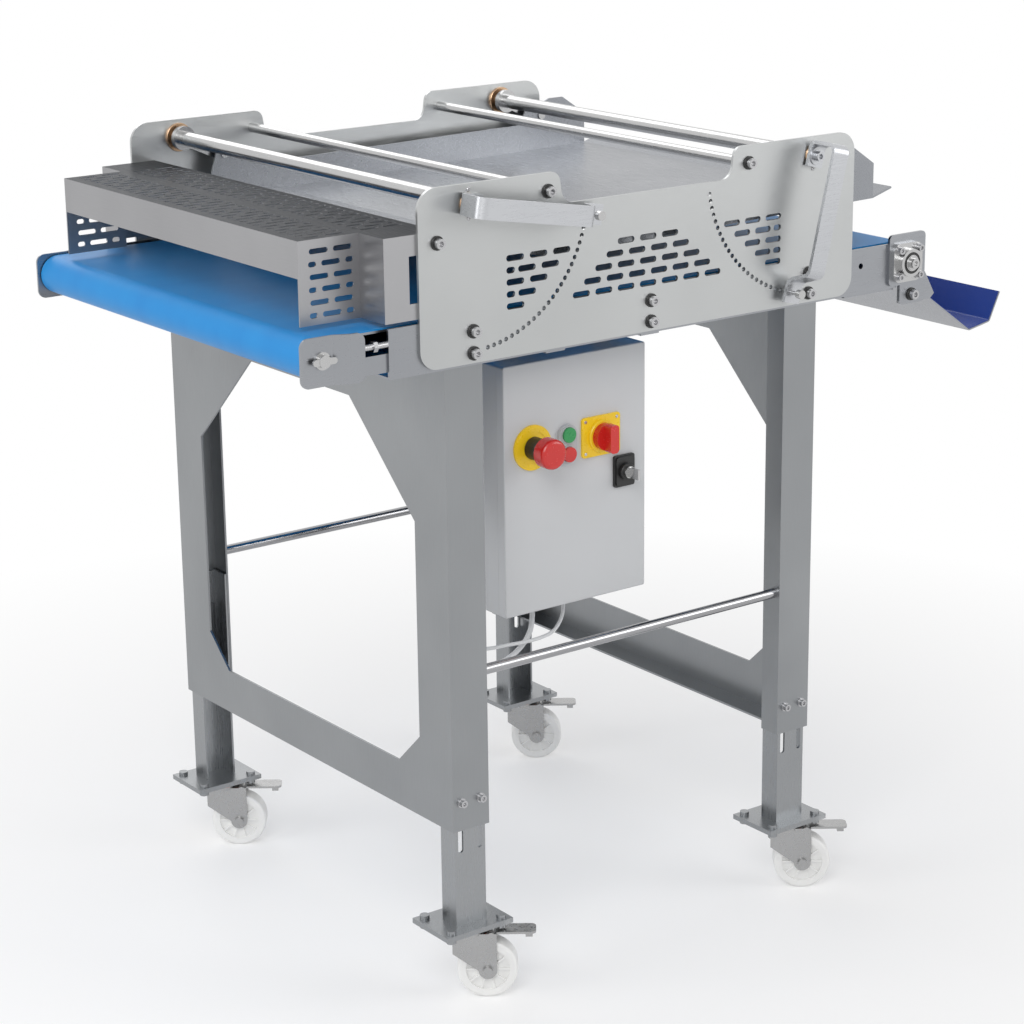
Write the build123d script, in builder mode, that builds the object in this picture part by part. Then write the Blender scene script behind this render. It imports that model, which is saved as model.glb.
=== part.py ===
from build123d import *
import math
import os

os.makedirs("parts", exist_ok=True)

# Baguette moulder: a belt conveyor under a pressing board, on a wheeled sheet-metal stand.
# Millimetres, +Z up, +X towards the catch trough, -Y is the control side. Floor is Z = 0.

# sheet thicknesses and clearances
sheet = 3.0
thin = 2.0
run_gap = 0.05
slide_gap = 0.3
bolt_play = 0.1

# overall sizes: half width and half length between the side plates, heights of belt and levers
frame_half = 346.0
plate_half_x = 355.0
axis_z = 892.0
pivot_rise = 165.0
pivot_z = axis_z + pivot_rise
pivot_inset = 75.0
pivot_x = plate_half_x - pivot_inset

# conveyor frame and belt
frame_ahead = 43.0
frame_past = 89.0
frame_x0 = -plate_half_x - frame_ahead
frame_x1 = plate_half_x + frame_past
frame_drop = 35.5
frame_over = 1.0
flange_deep = 30.0
belt_thick = 2.0
roller_r = 24.0
belt_r = roller_r + belt_thick
frame_z0 = axis_z - frame_drop
frame_z1 = axis_z + belt_r + frame_over
belt_edge_gap = 15.0
belt_half = frame_half - belt_edge_gap
nose_reach = 88.0
drive_reach = 12.0
nose_x = frame_x0 - nose_reach
drive_x = frame_x1 + drive_reach
shell_wall = 4.0
end_disc = 12.0
nose_axle_r = 6.0
nose_washer_t = 2.0
nose_bolt_t = 6.0
wing_len = 34.0
wing_w = 8.0
wing_t = 3.0
drive_shaft_r = 10.0
bed_nose_gap = 22.0
bed_drive_gap = 17.0
bed_x0 = nose_x + roller_r + bed_nose_gap
bed_x1 = drive_x - roller_r - bed_drive_gap
cross_tube = 30.0
cross_deep = 40.0
cross_wall = 2.0
cross_inset = 55.0
cross_reach = plate_half_x - cross_inset
cross_xs = (-cross_reach, 0.0, cross_reach)
belt_inner_top = axis_z + roller_r
spare_hole_past = 21.0
spare_hole_rise = 3.0
spare_hole_x = plate_half_x + spare_hole_past
spare_hole_z = axis_z + spare_hole_rise

# side plates
plate_t = 4.0
plate_out = frame_half + plate_t
plate_lift = 3.5
plate_z0 = frame_z0 + plate_lift
ear_over = 25.0
waist_under = 16.0
plate_ear_z = pivot_z + ear_over
plate_mid_z = pivot_z - waist_under
ear_inset = 137.0
ear_lean = 6.0
ear_x0 = pivot_x - ear_inset
ear_foot_x = ear_x0 - ear_lean
low_round = 25.0
waist_round = 19.0
ear_in_round = 14.0
ear_out_round = 27.0
slot_len = 27.0
slot_w = 8.0
half_slot_len = 13.0
slot_space = 9.0
row_space = 7.0
slot_pitch = slot_len + slot_space
slot_row_pitch = slot_w + row_space
slot_over = 123.0
slot_top_z = plate_z0 + slot_over
slot_rows = 5
mid_slot_x = -1.0
side_slot_inset = 215.5
side_slot_stop = 130.0
side_slot_x = plate_half_x - side_slot_inset
side_slot_end = plate_half_x - side_slot_stop

# lever pivots and index holes
lever_shaft_r = 10.0
index_r = 182.0
index_hole_r = 3.0
index_first = 10.0
index_step = 3.0
index_count = 25
index_range = 66.0
bush_r = 13.0
bush_flange_r = 20.0
bush_flange_t = 2.0
bush_len = 12.0

# bolts
bolt_r = 4.0
bolt_head_r = 6.5
bolt_head_h = 8.0
bolt_socket_r = 3.4
bolt_socket_h = 4.0
washer_r = 8.5
washer_t = 1.6
low_bolt_inset = 79.0
low_bolt_x = plate_half_x - low_bolt_inset
low_bolt_mid = 4.0
low_bolt_rise = 8.0
low_bolt_drop = 19.5
low_bolt_xs = (-low_bolt_x, low_bolt_mid, low_bolt_x)
low_bolt_zs = (axis_z + low_bolt_rise, axis_z - low_bolt_drop)
guard_bolt_inset = 27.5
guard_bolt_under = 42.0
guard_bolt_x = guard_bolt_inset - plate_half_x
guard_bolt_z = pivot_z - guard_bolt_under
tie_inset_in = 195.0
tie_inset_out = 188.0
tie_x = (tie_inset_in - plate_half_x, plate_half_x - tie_inset_out)
tie_rise = 2.0
tie_z = pivot_z + tie_rise
tie_r = 7.0
tie_thread = 20.0

# levers
lever_t = 5.0
lever_w = 26.0
lever_back = 19.5
lever_ahead = 15.0
lever_stand = 52.0
foot_stand = 10.0
grip_short = 26.0
lever_out = plate_out + lever_stand
lever_foot_in = plate_out + foot_stand
lever_grip_end = index_r - grip_short
hub_gap = 0.5
lever_hub_in = plate_out + bush_flange_t + hub_gap
lever_bend = 12.0
foot_ahead = 14.0
hub_washer_r = 12.0
pin_back = 9.0
pin_knob_r = 6.0
pin_knob_h = 8.0
pin_tip_gap = 0.5
infeed_angle = index_first
outfeed_angle = index_first + index_range

# arms and board
arm_len = 62.0
arm_angle = 24.0
arm_t = 8.0
arm_w = 20.0
arm_gap = 18.0
arm_in = frame_half - arm_gap
arm_hub_r = 17.0
arm_pin_r = 6.0
board_gap = 25.5
board_half = frame_half - board_gap
board_t = 2.5
board_clear = 52.0
board_fold_in = 149.0
board_end_out = 140.0
board_lip_run = 35.0
board_ramp_out = 10.0
board_slope = 10.0
board_ramp_rise = 30.0
board_rim = 48.0
board_bend = 8.0
board_fold_x = board_fold_in - pivot_x
board_fold_z = axis_z + belt_r + board_clear
board_end_x = pivot_x + board_end_out
board_end_z = board_fold_z + board_slope
board_lip_x = board_end_x + board_lip_run
board_lip_z = board_end_z + board_slope
board_ramp_x = -pivot_x - board_ramp_out
board_ramp_z = board_fold_z + board_ramp_rise
board_ear_runs = (33.0, 46.0, 80.0, 94.0, 112.0)
board_ear_drops = (57.0, 16.0, 16.0, 41.0, 45.0)
board_lug_runs = (15.0, 28.0, 50.0, 72.0, 98.0)
board_lug_drops = (36.5, 14.0, 10.0, 1.0, 1.0)

# nose brackets
nose_gap = 13.0
nose_in = frame_half - nose_gap
nose_t = 3.0
nose_ahead = 30.0
joggle_back = 15.0
joggle_run = 20.0
nose_back = 54.5
nose_under = 31.5
nose_over = 29.0
nose_round = 11.0
tongue_run = 68.0
tongue_under = 26.0
tongue_tall = 23.0
nose_x0 = nose_x - nose_ahead
joggle_x0 = nose_x + joggle_back
joggle_x1 = joggle_x0 + joggle_run
nose_x1 = nose_x + nose_back
nose_z0 = axis_z - nose_under
nose_z1 = axis_z + nose_over
tongue_x1 = frame_x0 + tongue_run
tongue_z0 = axis_z - tongue_under
tongue_z1 = tongue_z0 + tongue_tall
tension_r = 4.0
tension_y = frame_half - tension_r
tension_rise = 8.0
tension_z = axis_z + tension_rise
nut_r = 7.0
nut_t = 6.0
nut_off = 12.0

# drive end
bracket_ahead = 30.0
bracket_past = 38.0
bracket_over = 39.0
bracket_x0 = drive_x - bracket_ahead
bracket_x1 = drive_x + bracket_past
bracket_z1 = axis_z + bracket_over
lug_ahead = 9.0
lug_drop = 60.0
lug_x0 = drive_x - lug_ahead
lug_z0 = axis_z - lug_drop
bearing_side = 54.0
bearing_flange_t = 6.0
bearing_hub_r = 19.5
bearing_hub_t = 14.0
bearing_seal_r = 15.0
bearing_seal_deep = 1.5
bearing_pitch = 37.0
lug_bolt_off = 13.0
lug_bolt_x = drive_x + lug_bolt_off
lug_bolt_z = lug_z0 + lug_bolt_off
shaft_stand = 2.0
shaft_screw_r = 7.0
shaft_screw_h = 5.0

# catch trough, measured from the drive roller's axis
trough_gap = 11.0
trough_half = frame_half - trough_gap
trough_t = 2.0
trough_bend = 4.0
liner_t = 1.0
trough_hang = 24.0
trough_top = (drive_x + 34.0, axis_z - 40.0)
trough_fold = (drive_x + 146.0, axis_z - 119.0)
trough_floor = (drive_x + 186.0, axis_z - 112.0)
trough_rim = (drive_x + 205.0, axis_z - 72.0)
cheek_edge = 2.0
cheek_low_run = 54.0
cheek_tip_run = 62.0
cheek_tip_rise = 7.0
cheek_back_run = 43.0
cheek_back_drop = 20.0
cheek_low_x = drive_x + cheek_low_run
cheek_tip_x = drive_x + cheek_tip_run
cheek_tip_z = lug_z0 + cheek_tip_rise
cheek_back_x = drive_x + cheek_back_run
cheek_back_z = axis_z - cheek_back_drop

# infeed guard
guard_ahead = 2.0
guard_step_out = 45.0
guard_tail = 35.0
guard_under = 28.5
guard_clear = 7.0
fascia_tall = 45.5
guard_side_gap = 53.0
flange_out = 11.0
tab_in = 15.0
tab_tall = 20.0
guard_ear_tall = 25.5
guard_x0 = nose_x - guard_ahead
guard_step_x = -plate_half_x - guard_step_out
guard_x1 = guard_tail - plate_half_x
guard_z1 = pivot_z - guard_under
guard_z0 = axis_z + belt_r + guard_clear
fascia_z0 = guard_z1 - fascia_tall
guard_half = frame_half - guard_side_gap
guard_flange_x = -plate_half_x - flange_out
guard_tab_x = tab_in - plate_half_x
guard_tab_z = guard_z0 + tab_tall
guard_ear_z = guard_z1 - guard_ear_tall
hood_slot_w = 6.5
hood_slot_len = 26.5
hood_end_slot_len = 11.0
hood_slot_space = 7.5
hood_row_pitch = 15.5
hood_margin = 12.5
hood_row_count = int((guard_z1 - guard_z0 - 2 * hood_margin) / hood_row_pitch) + 1
hood_top_count = int((2 * guard_half - 2 * hood_margin) / (2 * hood_row_pitch)) * 2 + 1

# stand
panel_inset_in = 43.0
panel_inset_out = 53.0
panel_x0 = panel_inset_in - plate_half_x
panel_x1 = plate_half_x - panel_inset_out
panel_gap = 8.0
panel_half = frame_half - panel_gap
panel_z0 = 243.0
leg_face = 57.0
lip_deep = 33.0
return_deep = 36.0
return_gap = 5.0
return_half = panel_half - lip_deep - return_gap
window_edge = 72.0
window_top_cut = 144.0
window_low_cut = 50.0
window_low_rise = 63.5
window_low_tall = 47.5
window_top_drop = 75.5
window_top_tall = 136.0
window_half = panel_half - window_edge
window_top_half = window_half - window_top_cut
window_low_half = window_half - window_low_cut
window_low_z = panel_z0 + window_low_rise
window_low_z1 = window_low_z + window_low_tall
window_top_z = frame_z0 - window_top_drop
window_top_z0 = window_top_z - window_top_tall
rod_r = 7.0
rod_z = 449.0
rod_gap = 13.0
rod_y = panel_half - rod_gap

# telescopic legs and casters
leg_side_play = 3.0
leg_w = leg_face - 2 * sheet - leg_side_play
lip_play = 1.5
leg_deep = lip_deep - lip_play
leg_over = 138.0
leg_slot_w = 8.0
leg_slot_under = 71.0
leg_slot_over = 89.0
leg_slot_in = 10.5
leg_bolt_r = 3.0
leg_nut_r = 5.0
leg_nut_t = 5.0
leg_bolt_rise = 39.0
leg_bolt_z = panel_z0 + leg_bolt_rise
leg_top = leg_bolt_z + leg_over
leg_slot_z = (leg_bolt_z - leg_slot_under, leg_bolt_z + leg_slot_over)
wheel_r = 40.0
wheel_w = 30.0
wheel_bore = 4.0
wheel_round = 4.0
wheel_hub_r = 14.0
wheel_hub_deep = 3.0
wheel_dish_r = 0.72 * wheel_r
caster_rise = 24.0
foot_l = 105.0
foot_w = 80.0
foot_t = 4.0
foot_z = 2 * wheel_r + caster_rise
foot_bolt_x = 40.0
foot_bolt_y = 30.0
foot_bolt_r = 6.5
top_plate_t = 3.0
race_r = 30.0
race_h = 5.0
kingpin_r = 6.0
kingpin_head_r = 9.0
kingpin_head_h = 6.0
trail = 32.0
trail_turn = -36.4
fork_t = 2.5
fork_gap = 1.0
fork_back = 14.0
fork_ahead = 12.0
fork_deep = 28.0
crown_t = 6.0
axle_boss_r = 12.0
axle_nut_r = 6.5
axle_nut_t = 5.0
caster_gap = 23.0
caster_y = panel_half - caster_gap
pedal_t = 3.0
pedal_w = 27.0
pedal_play = 0.6
pedal_pin_r = 2.5
pedal_hub_t = 2.5
pedal_drop = 6.2
pedal_pin_u = 37.0
pedal_u1 = 96.0
pedal_tip = 14.0
pedal_tip_h = 6.0
pedal_slot_u = 16.0
pedal_shelf = 22.0

# control cabinet, hung from the conveyor frame behind the near side
cab_side_gap = 70.0
cab_wide = 233.0
cab_hang = 28.5
cab_tall = 336.0
cab_setback = 68.0
cab_deep = 135.0
door_deep = 15.0
cab_t = 1.5
cab_round = 3.0
cab_x0 = panel_x0 + leg_face + cab_side_gap
cab_x1 = cab_x0 + cab_wide
cab_z1 = frame_z0 - cab_hang
cab_z0 = cab_z1 - cab_tall
cab_front = cab_setback - panel_half
cab_back = cab_front + cab_deep
door_face = cab_front - door_deep
estop_r = 30.0
estop_x = cab_x0 + 45.0
estop_z = cab_z1 - 112.0
button_r = 10.0
button_x = cab_x0 + 100.5
button_zs = (estop_z + 8.5, estop_z - 17.5)
button_w = 29.0
button_edge = 13.5
switch_x = cab_x0 + 156.5
switch_z = cab_z1 - 114.0
switch_w = 63.0
switch_h = 54.0
switch_ring_r = 22.0
switch_knob_r = 18.0
key_x = cab_x0 + 195.0
key_z = cab_z1 - 168.5
key_w = 34.0
key_h = 43.0
hanger_in = 40.0
hanger_half = 15.0
hanger_y = cab_front + 30.0
hanger_foot = 40.0

# cables from the cabinet's underside up behind the infeed leg
gland_r = 9.0
gland_nut_h = 6.0
gland_tip_r = 6.5
gland_h = 12.0
gland_z = cab_z0 - gland_h
gland_y = cab_front + 25.0
gland_a_x = cab_x0 + 125.0
gland_b_x = cab_x0 + 73.0
cable_a_d = 5.0
cable_b_d = 7.0
least_bend = 5.0
cable_a_sag = (
    (0, 0, -13),
    (-5.2, -1, -24.8),
    (-14.5, -3, -33.7),
    (-26.6, -5.5, -38.4),
    (-46.6, -8.5, -39.5),
    (-73, -11.5, -38.5),
    (-106, -15, -34.5),
    (-140, -23, -30),
    (-172, -31, -21),
)
cable_a_rise = (
    (54, 53, -376.5),
    (38, 46, -349.5),
    (31, 39, -312.5),
    (30, 31, -268.5),
    (32, 26, -218.5),
    (31, 27, -163.5),
    (32, 25, -108.5),
    (31, 26, -53.5),
    (31, 26, 0),
)
cable_b_sag = (
    (0, 0, -20),
    (-8, 0, -38.5),
    (-25, -1.5, -52),
    (-48, -6, -59),
    (-76, -14, -60),
    (-104, -23.5, -55),
)
cable_b_rise = (
    (70, 61, -416.5),
    (48, 53, -396.5),
    (33, 46, -368.5),
    (25, 38, -331.5),
    (22, 27, -283.5),
    (21, 17, -231.5),
    (22, 13, -173.5),
    (21, 14, -115.5),
    (22, 13, -57.5),
    (22, 13, 0),
)

# drive under the bed
motor_back = 56.0
motor_drop = 89.0
motor_x = drive_x - motor_back
motor_z = axis_z - motor_drop
gear_half = 40.0
gear_low = 48.0
gear_wide = 93.0
gear_gap = 7.0
motor_r = 46.0
motor_len = 185.0
motor_cap_r = 49.0
motor_cap_l = 30.0
box_half = 35.0
box_side = 20.0
box_out = 60.0
output_r = 9.0
gear_z1 = frame_z0 - sheet
chain_gap = 11.0
chain_edge_gap = 5.0
chain_y0 = frame_half - chain_gap
chain_y1 = frame_half - chain_edge_gap
chain_side = 0.5
gear_y1 = chain_y0 - gear_gap
gear_y0 = gear_y1 - gear_wide
sprocket_r = 16.0
chain_t = 3.0


def block(x0, x1, y0, y1, z0, z1, mode=Mode.ADD):
    with Locations(((x0 + x1) / 2, (y0 + y1) / 2, (z0 + z1) / 2)):
        Box(x1 - x0, y1 - y0, z1 - z0, mode=mode)


def bar_y(x, z, y0, y1, r, mode=Mode.ADD):
    with Locations(Location((x, (y0 + y1) / 2, z), (90, 0, 0))):
        Cylinder(r, y1 - y0, mode=mode)


def bar_x(y, z, x0, x1, r, mode=Mode.ADD):
    with Locations(Location(((x0 + x1) / 2, y, z), (0, 90, 0))):
        Cylinder(r, x1 - x0, mode=mode)


def bar_z(x, y, z0, z1, r, mode=Mode.ADD):
    with Locations((x, y, (z0 + z1) / 2)):
        Cylinder(r, z1 - z0, mode=mode)


def pad(x, z, w, h, y0, y1, corner):
    # a flat plate with rounded corners between two depths, y0 nearer the front
    with BuildSketch(Plane.XZ.offset(-y1), mode=Mode.PRIVATE) as outline:
        with Locations((x, z)):
            RectangleRounded(w, h, corner)
    extrude(outline.sketch, amount=y1 - y0)


def upright_edges(part, z, x_range=None):
    # the edges that run through a plate at height z
    edges = part.edges().filter_by(Axis.Y).filter_by_position(Axis.Z, z - 1, z + 1)
    if x_range:
        edges = edges.filter_by_position(Axis.X, *x_range)
    return edges


def cap_screw(x, z, face, inner, r=bolt_r):
    # head and washer stand outside the -Y face, the shank runs inwards to inner
    head = face + washer_t
    tip = head + bolt_head_h * r / bolt_r
    bar_y(x, z, -head, -face, washer_r * r / bolt_r)
    bar_y(x, z, -tip, -head, bolt_head_r * r / bolt_r)
    bar_y(x, z, -face, -inner, r - bolt_play)
    bar_y(x, z, -tip, bolt_socket_h * r / bolt_r - tip, bolt_socket_r * r / bolt_r, Mode.SUBTRACT)


def arc_spot(side, angle, r):
    # a point at radius r from a lever pivot, angle below the horizontal, towards mid-machine
    a = math.radians(angle)
    return (side * (pivot_x - r * math.cos(a)), pivot_z - r * math.sin(a))


mid_slots = []
side_slots = []
half_slots = []
for row in range(slot_rows):
    z = slot_top_z - row * slot_row_pitch
    for i in range(row + 3):
        mid_slots.append((mid_slot_x + slot_pitch * (i - (row + 2) / 2), z))
    shift = row * slot_pitch / 2
    for i in range(3):
        x = side_slot_x + shift + i * slot_pitch
        if x + slot_len / 2 < side_slot_end + 1:
            side_slots.append((x, z))
            side_slots.append((-x, z))
    if row % 2 == 1:
        x = side_slot_end - half_slot_len / 2
        half_slots.append((x, z))
        half_slots.append((-x, z))

low_bolts = [(x, z) for x in low_bolt_xs for z in low_bolt_zs]
tie_spots = [(x, tie_z) for x in tie_x]
pivot_spots = [(-pivot_x, pivot_z), (pivot_x, pivot_z)]
index_spots = []
for k in range(index_count):
    index_spots.append(arc_spot(-1, index_first + index_step * k, index_r))
    index_spots.append(arc_spot(1, index_first + index_step * k, index_r))

# side plates
with BuildPart() as side_plate_far:
    with BuildSketch(Plane.XZ.offset(-plate_out)):
        with BuildLine():
            Polyline(
                (-plate_half_x, plate_z0),
                (plate_half_x, plate_z0),
                (plate_half_x, plate_ear_z),
                (ear_x0, plate_ear_z),
                (ear_foot_x, plate_mid_z),
                (-ear_foot_x, plate_mid_z),
                (-ear_x0, plate_ear_z),
                (-plate_half_x, plate_ear_z),
                close=True,
            )
        make_face()
    extrude(amount=plate_t)
    fillet(upright_edges(side_plate_far.part, plate_z0), low_round)
    fillet(upright_edges(side_plate_far.part, plate_mid_z), waist_round)
    fillet(upright_edges(side_plate_far.part, plate_ear_z, (-ear_x0 - 1, ear_x0 + 1)), ear_in_round)
    for x in (-plate_half_x, plate_half_x):
        fillet(upright_edges(side_plate_far.part, plate_ear_z, (x - 1, x + 1)), ear_out_round)
    with BuildSketch(Plane.XZ.offset(-plate_out)):
        with Locations(*mid_slots):
            SlotOverall(slot_len, slot_w)
        with Locations(*side_slots):
            SlotOverall(slot_len, slot_w)
        with Locations(*half_slots):
            SlotOverall(half_slot_len, slot_w)
        with Locations(*pivot_spots):
            Circle(bush_r)
        with Locations(*low_bolts, *tie_spots, (guard_bolt_x, guard_bolt_z)):
            Circle(bolt_r)
    extrude(amount=plate_t, mode=Mode.SUBTRACT)
side_plate_far.part.label = "side_plate_far"
export_step(side_plate_far.part, "parts/side_plate_far.step")

with BuildPart() as side_plate_near:
    add(mirror(side_plate_far.part, about=Plane.XZ))
    with BuildSketch(Plane.XZ.offset(frame_half)):
        with Locations(*index_spots):
            Circle(index_hole_r)
    extrude(amount=plate_t, mode=Mode.SUBTRACT)
side_plate_near.part.label = "side_plate_near"
export_step(side_plate_near.part, "parts/side_plate_near.step")

# conveyor frame
with BuildPart() as conveyor_sides:
    block(frame_x0, frame_x1, -frame_half, sheet - frame_half, frame_z0, frame_z1)
    block(frame_x0, frame_x1, sheet - frame_half, flange_deep - frame_half, frame_z0, frame_z0 + sheet)
    with BuildSketch(Plane.XZ.offset(frame_half - sheet)):
        with Locations(*low_bolts, (spare_hole_x, spare_hole_z)):
            Circle(bolt_r)
    extrude(amount=sheet, mode=Mode.SUBTRACT)
    add(mirror(conveyor_sides.part, about=Plane.XZ))
    notch_y = chain_y0 - chain_t
    notch_x = motor_x - sprocket_r - chain_t - gear_wide / 8
    block(notch_x, frame_x1, notch_y, frame_half - sheet, frame_z0, frame_z0 + sheet, Mode.SUBTRACT)
conveyor_sides.part.label = "conveyor_sides"
export_step(conveyor_sides.part, "parts/conveyor_sides.step")

with BuildPart() as cross_members:
    tube_z1 = belt_inner_top - sheet
    tube_z0 = tube_z1 - cross_tube
    tube_half = cross_deep / 2
    tube_in = tube_half - cross_wall
    tube_y = frame_half - sheet
    for x in cross_xs:
        block(x - tube_half, x + tube_half, -tube_y, tube_y, tube_z0, tube_z1)
        z0 = tube_z0 + cross_wall
        z1 = tube_z1 - cross_wall
        block(x - tube_in, x + tube_in, -tube_y, tube_y, z0, z1, Mode.SUBTRACT)
        for s in (-1, 1):
            y = s * (tube_y - sheet / 2)
            block(x - tube_half, x + tube_half, y - sheet / 2, y + sheet / 2, tube_z0, tube_z1)
cross_members.part.label = "cross_members"
export_step(cross_members.part, "parts/cross_members.step")

with BuildPart() as bed_plate:
    block(bed_x0, bed_x1, -belt_half, belt_half, belt_inner_top - sheet, belt_inner_top)
bed_plate.part.label = "bed_plate"
export_step(bed_plate.part, "parts/bed_plate.step")

with BuildPart() as belt:
    with BuildSketch(Plane.XZ):
        with Locations(((nose_x + drive_x) / 2, axis_z)):
            SlotCenterToCenter(drive_x - nose_x, 2 * belt_r)
            SlotCenterToCenter(drive_x - nose_x, 2 * roller_r, mode=Mode.SUBTRACT)
    extrude(amount=belt_half, both=True)
belt.part.label = "belt"
export_step(belt.part, "parts/belt.step")

with BuildPart() as nose_roller:
    bar_y(nose_x, axis_z, -belt_half, belt_half, roller_r - run_gap)
    bar_y(nose_x, axis_z, end_disc - belt_half, belt_half - end_disc, roller_r - shell_wall, Mode.SUBTRACT)
    bar_y(nose_x, axis_z, -belt_half, belt_half, nose_axle_r + run_gap, Mode.SUBTRACT)
nose_roller.part.label = "nose_roller"
export_step(nose_roller.part, "parts/nose_roller.step")

with BuildPart() as nose_axle:
    face = nose_in + nose_t
    wing_y = face + nose_washer_t + 2 * nose_bolt_t / 3
    bar_y(nose_x, axis_z, -face, face, nose_axle_r)
    for s in (-1, 1):
        y = s * (face + nose_washer_t / 2)
        bar_y(nose_x, axis_z, y - nose_washer_t / 2, y + nose_washer_t / 2, nose_axle_r + 5)
        y = s * (face + nose_washer_t + nose_bolt_t / 2)
        bar_y(nose_x, axis_z, y - nose_bolt_t / 2, y + nose_bolt_t / 2, nose_axle_r + 2)
        y = s * wing_y
        with BuildSketch(Plane.XZ.offset(-y - 1.5)):
            with Locations((nose_x, axis_z)):
                SlotOverall(wing_len, wing_w)
        extrude(amount=wing_t)
nose_axle.part.label = "nose_axle"
export_step(nose_axle.part, "parts/nose_axle.step")

with BuildPart() as nose_brackets:
    with BuildSketch(Plane.XY.offset(nose_z0)):
        with BuildLine():
            Polyline(
                (nose_x0, -nose_in),
                (nose_x0, -nose_in - nose_t),
                (joggle_x0, -nose_in - nose_t),
                (joggle_x1, -frame_half),
                (nose_x1, -frame_half),
                (nose_x1, nose_t - frame_half),
                (joggle_x1 + 1, nose_t - frame_half),
                (joggle_x0 + 1, -nose_in),
                close=True,
            )
        make_face()
    extrude(amount=nose_z1 - nose_z0)
    with BuildSketch(Plane.XZ):
        with Locations(((nose_x0 + nose_x1) / 2, (nose_z0 + nose_z1) / 2)):
            RectangleRounded(nose_x1 - nose_x0, nose_z1 - nose_z0, nose_round)
    extrude(amount=frame_half + 1, mode=Mode.INTERSECT)
    block(nose_x1 - nut_off, tongue_x1, nose_t - frame_half, 2 * nose_t - frame_half, tongue_z0, tongue_z1)
    bar_y(nose_x, axis_z, -nose_in - nose_t, -nose_in, nose_axle_r, Mode.SUBTRACT)
    add(mirror(nose_brackets.part, about=Plane.XZ))
nose_brackets.part.label = "nose_brackets"
export_step(nose_brackets.part, "parts/nose_brackets.step")

with BuildPart() as tension_screws:
    for s in (-1, 1):
        bar_x(s * tension_y, tension_z, nose_x1, frame_x0, tension_r)
        with BuildSketch(Plane.YZ.offset(nose_x1 + nut_off)):
            with Locations((s * tension_y, tension_z)):
                RegularPolygon(nut_r, 6)
        extrude(amount=nut_t)
tension_screws.part.label = "tension_screws"
export_step(tension_screws.part, "parts/tension_screws.step")

# drive end
with BuildPart() as drive_brackets:
    with BuildSketch(Plane.XZ.offset(frame_half)):
        with Locations(((bracket_x0 + bracket_x1) / 2, (plate_z0 + bracket_z1) / 2)):
            RectangleRounded(bracket_x1 - bracket_x0, bracket_z1 - plate_z0, 7)
        with Locations(((lug_x0 + bracket_x1) / 2, (lug_z0 + axis_z) / 2)):
            RectangleRounded(bracket_x1 - lug_x0, axis_z - lug_z0, 6)
        with Locations((drive_x, axis_z)):
            Circle(drive_shaft_r + 2, mode=Mode.SUBTRACT)
        with Locations((lug_bolt_x, lug_bolt_z)):
            Circle(bolt_r, mode=Mode.SUBTRACT)
        with Locations((drive_x, axis_z)):
            with GridLocations(bearing_pitch, bearing_pitch, 2, 2):
                Circle(leg_bolt_r, mode=Mode.SUBTRACT)
    extrude(amount=plate_t)
    add(mirror(drive_brackets.part, about=Plane.XZ))
drive_brackets.part.label = "drive_brackets"
export_step(drive_brackets.part, "parts/drive_brackets.step")

with BuildPart() as flange_bearings:
    for s in (-1, 1):
        with BuildSketch(Plane.XZ.offset(-s * plate_out)):
            with Locations((drive_x, axis_z)):
                RectangleRounded(bearing_side, bearing_side, 12)
            with Locations((drive_x, axis_z)):
                with GridLocations(bearing_pitch, bearing_pitch, 2, 2):
                    Circle(leg_bolt_r, mode=Mode.SUBTRACT)
        extrude(amount=-s * bearing_flange_t)
        y = s * (plate_out + bearing_hub_t / 2)
        bar_y(drive_x, axis_z, y - bearing_hub_t / 2, y + bearing_hub_t / 2, bearing_hub_r)
        y = s * (plate_out + bearing_hub_t)
        bar_y(drive_x, axis_z, y - bearing_seal_deep, y + bearing_seal_deep, bearing_seal_r, Mode.SUBTRACT)
    through = plate_out + 2 * bearing_hub_t
    bar_y(drive_x, axis_z, -through, through, drive_shaft_r + run_gap, Mode.SUBTRACT)
flange_bearings.part.label = "flange_bearings"
export_step(flange_bearings.part, "parts/flange_bearings.step")

with BuildPart() as drive_roller:
    bar_y(drive_x, axis_z, -belt_half, belt_half, roller_r - run_gap)
    bar_y(drive_x, axis_z, end_disc - belt_half, belt_half - end_disc, roller_r - shell_wall, Mode.SUBTRACT)
    shaft_end = plate_out + bearing_hub_t + shaft_stand
    bar_y(drive_x, axis_z, -shaft_end, shaft_end, drive_shaft_r)
    bar_y(drive_x, axis_z, -shaft_end - shaft_screw_h, -shaft_end, shaft_screw_r)
    screw_end = -shaft_end - shaft_screw_h
    bar_y(drive_x, axis_z, screw_end, screw_end + shaft_screw_h / 2, bolt_socket_r, Mode.SUBTRACT)
    bar_y(drive_x, axis_z, chain_y0, chain_y1, sprocket_r)
drive_roller.part.label = "drive_roller"
export_step(drive_roller.part, "parts/drive_roller.step")

with BuildPart() as drive_chain:
    run = math.hypot(drive_x - motor_x, axis_z - motor_z)
    lean = math.degrees(math.atan2(axis_z - motor_z, drive_x - motor_x))
    with BuildSketch(Plane.XZ.offset(-chain_y0 - chain_side)):
        with Locations(Location(((drive_x + motor_x) / 2, (axis_z + motor_z) / 2), lean)):
            SlotCenterToCenter(run, 2 * (sprocket_r + run_gap + chain_t))
            SlotCenterToCenter(run, 2 * (sprocket_r + run_gap), mode=Mode.SUBTRACT)
    extrude(amount=-(chain_y1 - chain_y0 - 2 * chain_side))
drive_chain.part.label = "drive_chain"
export_step(drive_chain.part, "parts/drive_chain.step")

with BuildPart() as motor_sprocket:
    bar_y(motor_x, motor_z, gear_y1 - motor_cap_l + 2, chain_y0, output_r)
    bar_y(motor_x, motor_z, chain_y0, chain_y1, sprocket_r)
motor_sprocket.part.label = "motor_sprocket"
export_step(motor_sprocket.part, "parts/motor_sprocket.step")

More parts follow.
